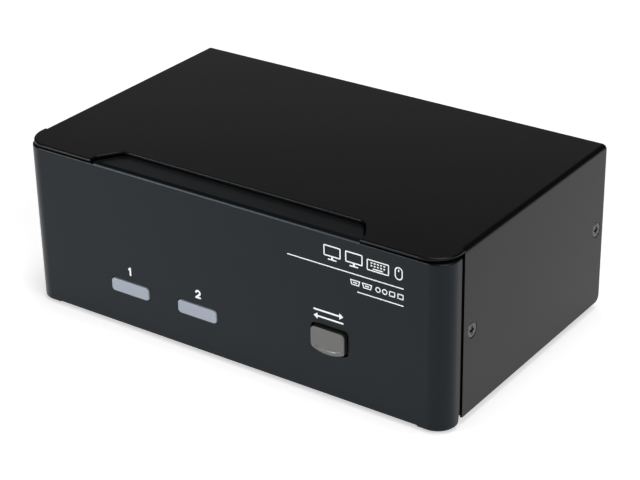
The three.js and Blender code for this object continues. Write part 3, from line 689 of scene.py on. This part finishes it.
def make_bezel():
    """The bezel's shell with its tab, hollowed from behind, and lips that close the gaps to the cover."""
    plan = plan_outline(HALF, 0, BEZEL_BACK, BEZEL_CORNER, 24)
    shell = prism(plan, "z", BEZEL_LOW.z, BEZEL_SHOULDER)
    sill = block((-SILL_HALF, SILL_HALF), (-OVER, BEZEL_BACK + OVER), (BEZEL_LOW.z - OVER, BEZEL_SILL))
    heel = low_corner(BEZEL_BACK, BEZEL_LOW.z, BEZEL_HEEL, 6)
    shell = combined(shell, [sill, heel], "DIFFERENCE")
    tab = make_tab()
    lip_half, lip_thick = SILL_HALF - 4, 1.1
    lip = block((-lip_half, lip_half), (BEZEL_WALL, LIPS_BACK), (BEZEL_SILL, BEZEL_SILL + lip_thick))
    low = 2
    shell = soften(shell, lambda at: at.z < low and abs(at.x) > SILL_HALF + 0.5, 1.4, 5)
    shell = soften(shell, lambda at: at.z > BEZEL_SHOULDER - 0.5, 0.6, 5)
    shell = soften(shell, lambda at: at.z < low and at.y < 1, 0.5, 4)
    shell = combined(shell, [tab, lip], "UNION")
    hollow = prism(
        plan_outline(HALF - BEZEL_WALL, BEZEL_WALL, BEZEL_BACK + OVER, BEZEL_CORNER - BEZEL_WALL, 16),
        "z",
        BEZEL_SILL + BEZEL_WALL,
        BEZEL_SHOULDER - BEZEL_WALL,
    )
    gap, chamfer, well_chamfer = 0.3, 0.3, 0.35
    windows = [flared(window_outline(x, gap), chamfer, chamfer, BEZEL_WALL + OVER) for x in WINDOW_XS]
    well = flared(key_outline(WELL_GAP), well_chamfer, well_chamfer, BEZEL_WALL + OVER)
    shell = combined(shell, [hollow, *windows, well], "DIFFERENCE")
    bmesh.ops.remove_doubles(shell, verts=shell.verts, dist=SPECK)
    lips = []
    for side in (-1, 1):
        across = (side * SIDE_LIP["x"] - SIDE_LIP["half"], side * SIDE_LIP["x"] + SIDE_LIP["half"])
        lips.append(block(across, (SIDE_LIP["front"], LIPS_BACK), (SIDE_LIP["low"], SIDE_LIP["high"])))
    shell = merged(shell, *lips)
    build("bezel_shell", shell, BEZEL_PLASTIC, ["front_bezel"])


def make_windows():
    """Each window: a rounded front, straight sides, and a flange behind the bezel's wall."""
    proud = WINDOW["proud"]
    flange, flange_back, flange_front = 1.2, 3.2, 2.4
    places = [
        (flange, flange_back),
        (flange, flange_front),
        (0, flange_front),
        (0, -0.25),
        (-0.08, -0.38),
        (-0.25, 0.02 - proud),
        (-0.4, -proud),
    ]
    for index, x in enumerate(WINDOW_XS):
        number = str(index + 1)
        lens = loft([lifted(window_outline(x, grow), "y", level) for grow, level in places])
        build("lens_" + number, lens, LENS, ["led_window_" + number])


def edge_distance(point, outline):
    """How far a point is from the nearest side of an outline."""
    here = Vector(point)
    nearest = 1e9
    for i in range(len(outline)):
        a, b = Vector(outline[i - 1]), Vector(outline[i])
        along = b - a
        share = 0
        if along.length > 1e-9:
            share = max(0, min(1, (here - a).dot(along) / along.length_squared))
        nearest = min(nearest, (here - a - along * share).length)
    return nearest


def key_depth(x, z, outline):
    """The button face's level: rounded at its rim, with an arched ridge above a strip that falls away."""
    rim, crown, fall, crease, ridge, ridge_width = 0.35, 0.08, 0.22, 1.7, 0.25, 0.22
    ridge_end, ridge_fade = 0.86, 0.12
    distance = edge_distance((x, z), outline)
    inset = max(0, rim - distance)
    edge = rim - math.sqrt(max(0, rim * rim - inset * inset))
    dip = KEY["side"] - KEY["sag"]
    radius = (KEY["half"] ** 2 + dip * dip) / (2 * dip)
    across = (x - KEY["x"]) / KEY["half"]
    above = z - (KEY["sag"] + radius - math.sqrt(max(0, radius**2 - (x - KEY["x"]) ** 2)))
    slope = fall * max(0, min(1, (crease - above) / crease))
    fade = max(0, min(1, (ridge_end - abs(across)) / ridge_fade))
    bump = ridge * fade * math.exp(-(((above - crease) / ridge_width) ** 2))
    rise = bump * (distance > rim)
    return ridge - KEY["proud"] + edge + slope + crown * across**2 - rise


def key_face():
    """The button's face: a grid drawn into its outline, closer towards the rim, with a flat back."""
    outline = key_outline()
    columns, rows = 56, 72
    lows, highs = [], []
    centre, reach = KEY["x"], KEY["half"] - 1e-3
    xs = [centre - KEY["half"] * math.cos(math.pi * i / columns) for i in range(columns + 1)]
    for x in xs:
        inside = min(max(x, centre - reach), centre + reach)
        hits = []
        for i in range(len(outline)):
            (x0, z0), (x1, z1) = outline[i - 1], outline[i]
            if x0 != x1 and (x0 - inside) * (x1 - inside) <= 0:
                hits.append(z0 + (z1 - z0) * (inside - x0) / (x1 - x0))
        lows.append(min(hits))
        highs.append(max(hits))
    shape = bmesh.new()
    grid = []
    for x, low, high in zip(xs, lows, highs):
        column = []
        for row in range(rows + 1):
            z = low + (high - low) * (1 - math.cos(math.pi * row / rows)) / 2
            column.append(shape.verts.new((x, key_depth(x, z, outline), z)))
        grid.append(column)
    for left, right in zip(grid, grid[1:]):
        for row in range(rows):
            shape.faces.new((left[row], right[row], right[row + 1], left[row + 1]))
    rim = [column[0] for column in grid] + grid[-1][1:-1]
    rim += [column[-1] for column in reversed(grid)] + grid[0][-2:0:-1]
    level = KEY_FACE_THICK - KEY["proud"]
    back = [shape.verts.new((v.co.x, level, v.co.z)) for v in rim]
    for i in range(len(rim)):
        shape.faces.new((rim[i - 1], rim[i], back[i], back[i - 1]))
    shape.faces.new(back)
    bmesh.ops.recalc_face_normals(shape, faces=shape.faces)
    return shape


def make_key():
    """A grey face set on a skirt whose dark colour is painted shade, with the flange and stem behind them.
    """
    node = ["select_button"]
    build("key_face", key_face(), BUTTON_PLASTIC, node, BUTTON)
    level = KEY_FACE_THICK - KEY["proud"]
    flange_front, flange_back, stem_end, stem_z = 2.42, 3.2, 4.1, 23.2
    skirt = prism(key_outline(-0.06), "y", level, flange_front + 0.03)
    flange = prism(key_outline(1.5), "y", flange_front, flange_back, 0.15, 0.15)
    profile = [(0.2, 3.1), (1.5, 3.1), (1.5, 3.9), (1.3, stem_end), (0.2, stem_end)]
    stem = turned(profile, "y", (KEY["x"], stem_z))
    build("key_skirt", merged(skirt, flange, stem), SKIRT_SHADE_PLASTIC, node, BUTTON)


# ---- Screws and feet ----


def cross_ring(y, z, radius, half_width, steps=64):
    """A cross-shaped outline, sampled by angle so that it matches a circle of as many points."""
    outline = []
    for i in range(steps):
        angle = 2 * math.pi * i / steps
        fold = (angle + math.pi / 4) % (math.pi / 2) - math.pi / 4
        reach = min(radius / math.cos(fold), half_width / max(1e-6, abs(math.sin(fold))))
        outline.append((y + reach * math.cos(angle), z + reach * math.sin(angle)))
    return outline


def cover_screw(side, y):
    """A countersunk screw: point, shank, cone, slightly domed head, and a cross that narrows inwards."""
    out = side * (HALF - SCREW_SINK)
    shank = circle(y, SCREW_Z, 1.45)
    places = [
        (circle(y, SCREW_Z, 0.3), 8),
        (shank, 7.8),
        (shank, 1.5),
        (circle(y, SCREW_Z, SCREW_HEAD), 0.12),
        (circle(y, SCREW_Z, SCREW_HEAD - 0.1), 0),
        (circle(y, SCREW_Z, 2.2), -0.04),
        (cross_ring(y, SCREW_Z, 1.8, 0.52), -0.03),
        (cross_ring(y, SCREW_Z, 1.7, 0.46), 0.15),
        (cross_ring(y, SCREW_Z, 1.3, 0.38), 2.4),
    ]
    return loft([lifted(line, "x", out - side * depth) for line, depth in places])


def make_cover_screws():
    places = [(side, y) for side in (-1, 1) for y in SCREW_YS]
    for index, (side, y) in enumerate(places):
        number = str(index + 1)
        node = "cover_screw_" + number
        build("cross_head_" + number, cover_screw(side, y), SCREW_METAL, [node])


def rubber_foot(low, high):
    """A foot with a dished middle, a flat ring to stand on, and a rounded outer edge."""
    axis, dish = 0.3, 2.1
    radius = (high.x - low.x) / 2
    profile = [
        (axis, low.z + 0.9),
        (dish - 0.3, low.z + 0.9),
        (dish, low.z + 0.6),
        (dish, low.z + 0.2),
        (dish + 0.2, low.z),
        (radius - 1.0, low.z),
        (radius - 0.5, low.z + 0.15),
        (radius - 0.1, low.z + 0.6),
        (radius, low.z + 1.0),
        (radius, high.z),
        (axis, high.z),
    ]
    return turned(profile, "z", ((low.x + high.x) / 2, (low.y + high.y) / 2), 40)


def make_feet():
    for number in ("1", "2", "3", "4"):
        node = "rubber_foot_" + number
        foot = rubber_foot(*node_box(node))
        build("foot_" + number, foot, RUBBER, [node])


# ---- Rear sockets ----

REAR_FACE = node_box("chassis_tray")[1].y
REAR_INNER = REAR_FACE - SHEET
COMPUTERS = ("pc_1", "pc_2")
COLUMNS = ("console", *COMPUTERS)
ROWS = ("a", "b")
VIDEO = {"half": 12.1, "tall": 4.3, "slant": 1.4, "wall": 0.6, "recess": 1.0}
PIN_PITCH = 1.905
FLAT_MOUTH = {"width": 12.5, "height": 5.2}
MOUTH_DEPTH = 10.0
TONGUE_SET = 1.2
CONTACT_SET = 0.6


def centre_of(node):
    """A node's middle, lowest and highest points."""
    low, high = node_box(node)
    return (low + high) / 2, low, high


def moved(shape, x, z):
    """A copy of a shape, moved across the rear face."""
    copy = shape.copy()
    bmesh.ops.translate(copy, verts=copy.verts, vec=(x, 0, z))
    return copy


def video_outline(grow=0.0):
    """A video socket about its own centre: wider at the top than at the bottom."""
    w, h, slant = VIDEO["half"] + grow, VIDEO["tall"] + grow, VIDEO["slant"]
    upper = [(w, h, 1.0), (-w, h, 1.0)]
    return rounded([*upper, (-w, 0, 1.5), (slant - w, -h, 1.5), (w - slant, -h, 1.5), (w, 0, 1.5)], 5)


def video_shell(end):
    """The metal collar that a plug pushes over, and the flange behind the tray's wall."""
    outer, inner = video_outline(), video_outline(-VIDEO["wall"])
    inside = REAR_INNER - SHEET
    places = [
        (outer, inside),
        (outer, end - 0.2),
        (grown(outer, -0.14), end),
        (grown(inner, 0.14), end),
        (inner, end - 0.2),
        (inner, inside),
    ]
    shell = hoop([lifted(line, "y", level) for line, level in places])
    flange = prism(rectangle(0, 0, 39, 12, 1.5), "y", REAR_INNER - 0.9, REAR_INNER - 0.1, 0.1, 0.1)
    return merged(shell, flange)


def video_insert(end):
    """The socket's plastic, with a hole for each of its contacts and its crossed blade."""
    face = end - VIDEO["recess"]
    body = prism(video_outline(-VIDEO["wall"] - 0.02), "y", REAR_INNER - 0.6, face)
    depth = (face - 3, face + 1)
    first, blade, half = 10.1, -7.4, 0.45
    beside, above = 1.5, 1.6
    holes = []
    for column in range(8):
        for row in (-1, 0, 1):
            x, z = first - column * PIN_PITCH, row * PIN_PITCH
            holes.append(block((x - half, x + half), depth, (z - half, z + half)))
    for side, up in ((-1, -1), (-1, 1), (1, -1), (1, 1)):
        x, z = blade + side * beside, up * above
        holes.append(block((x - half, x + half), depth, (z - half, z + half)))
    blade_half, blade_thick = 2.9, 0.8
    blade_height = (-blade_thick / 2, blade_thick / 2)
    holes.append(block((blade - blade_half, blade + blade_half), depth, blade_height))
    insert = combined(body, [merged(*holes)], "DIFFERENCE")
    foot = block((-14.3, 14.3), (106, REAR_INNER - 1.0), (-6, 5.9))
    return merged(insert, foot)


def make_video_sockets():
    end = centre_of("dvi_console_a")[2].y
    shell, insert = video_shell(end), video_insert(end)
    for column in COLUMNS:
        for row in ROWS:
            name = column + "_" + row
            node = ["dvi_" + name]
            middle = centre_of(node[0])[0]
            collar = moved(shell, middle.x, middle.z)
            core = moved(insert, middle.x, middle.z)
            build("video_shell_" + name, collar, NICKEL, node)
            build("video_insert_" + name, core, WHITE_PLASTIC, node)
    shell.free()
    insert.free()


def hexagon(x, z, radius, most, steps=48):
    """A hexagon sampled by angle, its corners cut back where they reach past a radius."""
    outline = []
    for i in range(steps):
        angle = 2 * math.pi * i / steps
        fold = angle % (math.pi / 3) - math.pi / 6
        reach = min(radius * math.cos(math.pi / 6) / math.cos(fold), most)
        outline.append((x + reach * math.cos(angle), z + reach * math.sin(angle)))
    return outline


def jackscrew(node):
    """A hexagonal screw, chamfered at both ends of its hexagon, with a threaded bore."""
    middle, low, high = centre_of(node)
    radius = (high.x - low.x) / 2
    base, end, x, z = REAR_FACE + 0.1, high.y, middle.x, middle.z
    stud, steps = 1.4, 48
    thread = {"turns": 8, "pitch": 0.4, "inner": 1.12, "outer": 1.3}
    places = [
        (circle(x, z, stud - 0.2, steps), low.y),
        (circle(x, z, stud, steps), low.y + 0.3),
        (circle(x, z, stud, steps), base),
        (hexagon(x, z, radius, radius * 0.95), base),
        (hexagon(x, z, radius, radius), base + 0.3),
        (hexagon(x, z, radius, radius), end - 0.45),
        (hexagon(x, z, radius, radius * 0.88), end),
        (circle(x, z, thread["outer"] + 0.2, steps), end),
    ]
    for turn in range(thread["turns"]):
        depth = end - 0.2 - turn * thread["pitch"]
        places.append((circle(x, z, thread["inner"], steps), depth))
        places.append((circle(x, z, thread["outer"], steps), depth - 0.2))
    places.append((circle(x, z, 0.2, steps), depth - 0.3))
    return loft([lifted(line, "y", level) for line, level in places])


def make_jackscrews():
    for column in COLUMNS:
        for row in ROWS:
            for number in ("1", "2"):
                name = column + "_" + row + "_" + number
                node = "jackscrew_" + name
                build("hex_" + name, jackscrew(node), HEX_NICKEL, [node])


def contacts(x, y, z, places, up):
    """Gold strips lying on a tongue's upper (up = 1) or lower (up = -1) face."""
    thick, half = 0.12, 0.5
    return [block((x + p - half, x + p + half), y, sorted((z, z + up * thick))) for p in places]


def metal_shell(middle, low, high):
    """A square socket's outer box, softened at its mouth."""
    size = high - low
    outline = rectangle(middle.x, middle.z, size.x, size.z, 0.6)
    return prism(outline, "y", low.y, high.y, 0.1, 0.25)


def make_flat_sockets():
    """Two flat sockets, one above the other, in one metal shell."""
    for name in ("console", "hub"):
        node = ["usb_stack_" + name]
        middle, low, high = centre_of(node[0])
        depth = (high.y - MOUTH_DEPTH - 0.1, high.y - TONGUE_SET)
        width, thick = 10.6, 1.9
        tongues, strips, mouths = [], [], []
        for side in (-1, 1):
            z = middle.z + side * (high - low).z / 4
            mouth = rectangle(middle.x, z, FLAT_MOUTH["width"], FLAT_MOUTH["height"], 0.4)
            mouths.append(prism(mouth, "y", high.y - MOUTH_DEPTH, high.y + 1))
            low_face = z - 1.2
            tongue = rectangle(middle.x, low_face + thick / 2, width, thick, 0.3)
            tongues.append(prism(tongue, "y", *depth, 0, 0.15))
            strip_depth = (depth[0], depth[1] - CONTACT_SET)
            strips += contacts(middle.x, strip_depth, low_face, (-3.5, -1, 1, 3.5), -1)
        shell = combined(metal_shell(middle, low, high), mouths, "DIFFERENCE")
        build("usb_shell_" + name, shell, NICKEL, node)
        build("usb_tongues_" + name, merged(*tongues), BLACK_PLASTIC, node)
        build("usb_contacts_" + name, merged(*strips), GOLD, node)


def make_house_sockets():
    """The computers' sockets: a mouth with its two upper corners cut off, round a thick tongue."""
    half, tall, slope = 4.25, 3.9, 1.65
    width, thick = 5.3, 3.2
    for name in COMPUTERS:
        node = ["usb_" + name]
        middle, low, high = centre_of(node[0])
        roof = [(half, tall - slope, 0.2), (half - slope, tall, 0.2), (slope - half, tall, 0.2)]
        mouth = rounded([(-half, -tall, 0.4), (half, -tall, 0.4), *roof, (-half, tall - slope, 0.2)], 4)
        mouth = [(middle.x + a, middle.z + b) for a, b in mouth]
        cutter = prism(mouth, "y", high.y - MOUTH_DEPTH, high.y + 1)
        shell = combined(metal_shell(middle, low, high), [cutter], "DIFFERENCE")
        depth = (high.y - MOUTH_DEPTH - 0.1, high.y - TONGUE_SET)
        tongue = prism(rectangle(middle.x, middle.z, width, thick, 0.4), "y", *depth, 0, 0.2)
        strip_depth = (depth[0], depth[1] - CONTACT_SET)
        strips = contacts(middle.x, strip_depth, middle.z + thick / 2, (-1.25, 1.25), 1)
        strips += contacts(middle.x, strip_depth, middle.z - thick / 2, (-1.25, 1.25), -1)
        build("usb_shell_" + name, shell, NICKEL, node)
        build("usb_tongue_" + name, tongue, WHITE_PLASTIC, node)
        build("usb_contacts_" + name, merged(*strips), GOLD, node)


def audio_profiles(end):
    """A round socket's nose with its bore, and the contact at the bore's end."""
    nose, bore, depth = 3.2, 1.8, 2.2
    axis = bore * 0.1
    barrel = [
        (axis, REAR_INNER - 0.9),
        (nose, REAR_INNER - 0.9),
        (nose, end - 0.35),
        (nose - 0.1, end - 0.1),
        (nose - 0.35, end),
        (bore + 0.3, end),
        (bore + 0.06, end - 0.1),
        (bore, end - 0.35),
        (bore, end - depth),
        (axis, end - depth),
    ]
    contact = [(axis, end - 2.15), (bore - 0.5, end - 2.15), (bore - 0.62, end - 1.6)]
    contact += [(bore - 0.75, end - 1.6), (bore - 0.85, end - 2.1), (axis, end - 2.1)]
    return barrel, contact


def make_audio_sockets():
    """For each column, two round sockets side by side on one body."""
    pitch = 7.8
    for column in COLUMNS:
        node = ["audio_" + column]
        middle, low, high = centre_of(node[0])
        body = block((low.x, high.x), (low.y, REAR_INNER - 0.3), (low.z, high.z))
        build("audio_body_" + column, body, BLACK_PLASTIC, node)
        barrel, contact = audio_profiles(high.y)
        for side, colour, use in ((-1, JACK_PINK, "in"), (1, JACK_LIME, "out")):
            place = (middle.x + side * pitch / 2, middle.z)
            name = use + "_" + column
            build("audio_" + name, turned(barrel, "y", place, 48), colour, node)
            build("audio_tip_" + name, turned(contact, "y", place), NICKEL, node)


def make_power_inlet():
    """A round bore with a countersunk mouth and a pin standing in it."""
    middle, low, high = centre_of("dc_jack")
    size, end = high - low, high.y
    bore, pin, depth = 3.1, 1.0, 9
    place = (middle.x, low.z + 6.4)
    shell = prism(rectangle(middle.x, middle.z, size.x, size.z, 0.7), "y", low.y, end, 0.1, 0.3)
    hole = [(0.3, end - depth), (bore, end - depth), (bore, end - 0.4)]
    hole += [(bore + 0.4, end), (bore + 0.4, end + 1), (0.3, end + 1)]
    shell = combined(shell, [turned(hole, "y", place, 40)], "DIFFERENCE")
    build("power_inlet", shell, BLACK_PLASTIC, ["dc_jack"])
    tip = [(0.1, end - depth - 0.1), (pin, end - depth - 0.1), (pin, end - 1.5)]
    tip += [(pin - 0.3, end - 1.1), (0.1, end - 1.0)]
    build("power_pin", turned(tip, "y", place), NICKEL, ["dc_jack"])


# ---- Pieces that stay as they were packed ----


def finish_inner_pieces():
    """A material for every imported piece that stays, chosen by how its name starts."""
    finishes = {
        "chassis_tray": TRAY_PAINT,
        "switch_plunger": BLACK_PLASTIC,
        "switch_body": BLACK_PLASTIC,
        "status_led": LED_CUP,
        "front_board": BOARD_GREEN,
        "main_board": BOARD_GREEN,
        "video_board": BOARD_GREEN,
        "front_header": BLACK_PLASTIC,
        "main_header": BLACK_PLASTIC,
        "main_chip": BLACK_PLASTIC,
        "board_link": BLACK_PLASTIC,
        "ribbon_cable": RIBBON_SHEATH,
        "spacer": BRASS,
        "board_screw": ZINC,
    }
    for start, material in finishes.items():
        for name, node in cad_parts.items():
            if name.startswith(start):
                node.data.materials.clear()
                node.data.materials.append(material)


# ---- Printed marks ----

PRINT_FACE = -0.02
PRINT_BACK = 0.02


def ink(outline):
    """A printed shape on the bezel's face, as thin as ink."""
    return prism(outline, "y", PRINT_FACE, PRINT_BACK)


def ink_ring(outline, width):
    """A printed line that follows an outline."""
    inner = grown(outline, -width)
    places = [(outline, PRINT_BACK), (outline, PRINT_FACE), (inner, PRINT_FACE), (inner, PRINT_BACK)]
    return hoop([lifted(line, "y", level) for line, level in places])


def stroke(points, width, steps=6):
    """A printed line of even width through points, with round ends."""
    shapes = []
    for (x0, z0), (x1, z1) in zip(points, points[1:]):
        along = math.degrees(math.atan2(z1 - z0, x1 - x0))
        outline = arc(x1, z1, width / 2, along - 90, along + 90, steps)
        outline += arc(x0, z0, width / 2, along + 90, along + 270, steps)
        shapes.append(ink(outline))
    return combined(shapes[0], shapes[1:], "UNION")


def numeral_one(x, z, height, width):
    """A printed 1, its lower left corner at (x, z)."""
    r = width / 2
    stem = x + 0.27 * height
    return stroke([(x + r, z + 0.74 * height), (stem, z + height - r), (stem, z + r)], width)


def numeral_two(x, z, height, width):
    """A printed 2, its lower left corner at (x, z)."""
    r = width / 2
    bowl = 0.25 * height
    bend = arc(x + r + bowl, z + height - r - bowl, bowl, 165, -35, 10)
    return stroke([*bend, (x + r, z + r), (x + r + 2 * bowl, z + r)], width)


def arrow(x0, x1, z, thick, head):
    """A flat arrow from x0 to x1."""
    way = 1 if x1 > x0 else -1
    neck = x1 - way * head * 1.3
    half = thick / 2
    lower = [(x0, z - half), (neck, z - half), (neck, z - head)]
    upper = [(neck, z + head), (neck, z + half), (x0, z + half)]
    outline = [*lower, (x1, z), *upper]
    return ink(outline if way > 0 else outline[::-1])


def monitor(x, z, width, height):
    """A screen's outline on a neck and a foot, round the middle point (x, z)."""
    line = 0.5
    screen = ink_ring(rectangle(x, z + height * 0.12, width, height * 0.76, 0.5, 4), line)
    neck = ink(rectangle(x, z - height * 0.34, 0.8, height * 0.14, 0.05, 2))
    foot = ink(rectangle(x, z - height * 0.45, width * 0.5, 0.5, 0.1, 2))
    return [screen, neck, foot]


def keyboard(x, z, width, height):
    """An outline with two rows of keys and a space bar."""
    keys = [ink_ring(rectangle(x, z, width, height, 0.5, 4), 0.45)]
    pitch = width / 7
    for row, level in enumerate((0.22, -0.02)):
        for i in range(5):
            place = (x + (i - 2) * pitch, z + level * height)
            keys.append(ink(rectangle(*place, pitch * 0.55, 0.55, 0.05, 2)))
    keys.append(ink(rectangle(x, z - height * 0.27, width * 0.45, 0.45, 0.05, 2)))
    return keys


def mouse(x, z, width, height):
    """An outline with round ends and a wheel."""
    body = ink_ring(rectangle(x, z, width, height, width / 2 - 0.05, 6), 0.45)
    wheel = ink(rectangle(x, z + height * 0.22, 0.45, height * 0.2, 0.1, 2))
    return [body, wheel]


def port_marks(x, z, pitch):
    """Small outlines of two video sockets, two jacks and two square sockets, from right to left."""
    line, half_height = 0.4, 1.1
    top_half, bottom_half = 2.2, 1.7
    marks = []
    for place in (0, 1):
        marks.append(ink_ring(rectangle(x - place * pitch, z, 2.6, 2.2, 0.2, 2), line))
        jack = circle(x - 3.9 - (1 + place) * pitch * 0.8, z, 1.15, 20)
        marks.append(ink_ring(jack, line))
    for place in (0, 1):
        middle = x - 3.6 - pitch * (3 + 1.45 * place)
        low, high = z - half_height, z + half_height
        plug = [(middle - bottom_half, low), (middle + bottom_half, low)]
        plug += [(middle + top_half, high), (middle - top_half, high)]
        marks.append(ink_ring(plug, line))
        marks.append(ink(rectangle(middle, z, 1.9, 0.45, 0.1, 2)))
    return marks


def rule(x0, x1, z):
    """A thin level line."""
    thick = 0.42
    return ink(rectangle((x0 + x1) / 2, z, x1 - x0, thick, 0.1, 2))


def make_print():
    """The windows' numbers, two arrows above the button, and pictograms in the upper right corner."""
    first, second = (x - 0.7 for x in WINDOW_XS)
    shapes = [numeral_one(first, 22.2, 3.8, 0.82), numeral_two(second, 22.2, 3.8, 0.82)]
    left, right = KEY["x"] - 7.0, KEY["x"] + 6.4
    shapes += [arrow(left, right, 34.7, 0.7, 1.35), arrow(right, left, 32.0, 0.7, 1.35)]
    edge, icons, sockets = 82.0, 60.1, 50.9
    shapes += monitor(51.0, icons, 7.6, 6.0) + monitor(60.6, icons, 7.6, 6.0)
    shapes += keyboard(71.0, icons, 9.6, 4.6) + mouse(79.9, icons, 3.4, 5.2)
    shapes += port_marks(edge - 1.3, sockets, 3.6)
    shapes += [rule(30.7, edge, 54.4), rule(62.0, edge, 47.4)]
    build("printed_marks", merged(*shapes), PRINT)


def make_rear_print():
    """Each computer's number and the console's monitor, above the sockets and read from behind."""
    level = 61.6
    shapes = []
    for name, draw in (("pc_1", numeral_one), ("pc_2", numeral_two)):
        shapes.append(draw(-centre_of("dvi_" + name + "_b")[0].x - 1.2, level, 4.0, 0.7))
    shapes += monitor(-centre_of("dvi_console_b")[0].x, level + 2.2, 6.4, 5.0)
    marks = merged(*shapes)
    marks.transform(Matrix.Translation((0, REAR_FACE, 0)) @ Matrix.Rotation(math.pi, 4, "Z"))
    build("rear_marks", marks, PRINT)


make_camera()
make_floor()
make_light()
make_cover()
make_bezel()
make_windows()
make_key()
make_cover_screws()
make_feet()
make_video_sockets()
make_jackscrews()
make_flat_sockets()
make_house_sockets()
make_audio_sockets()
make_power_inlet()
finish_inner_pieces()
make_print()
make_rear_print()
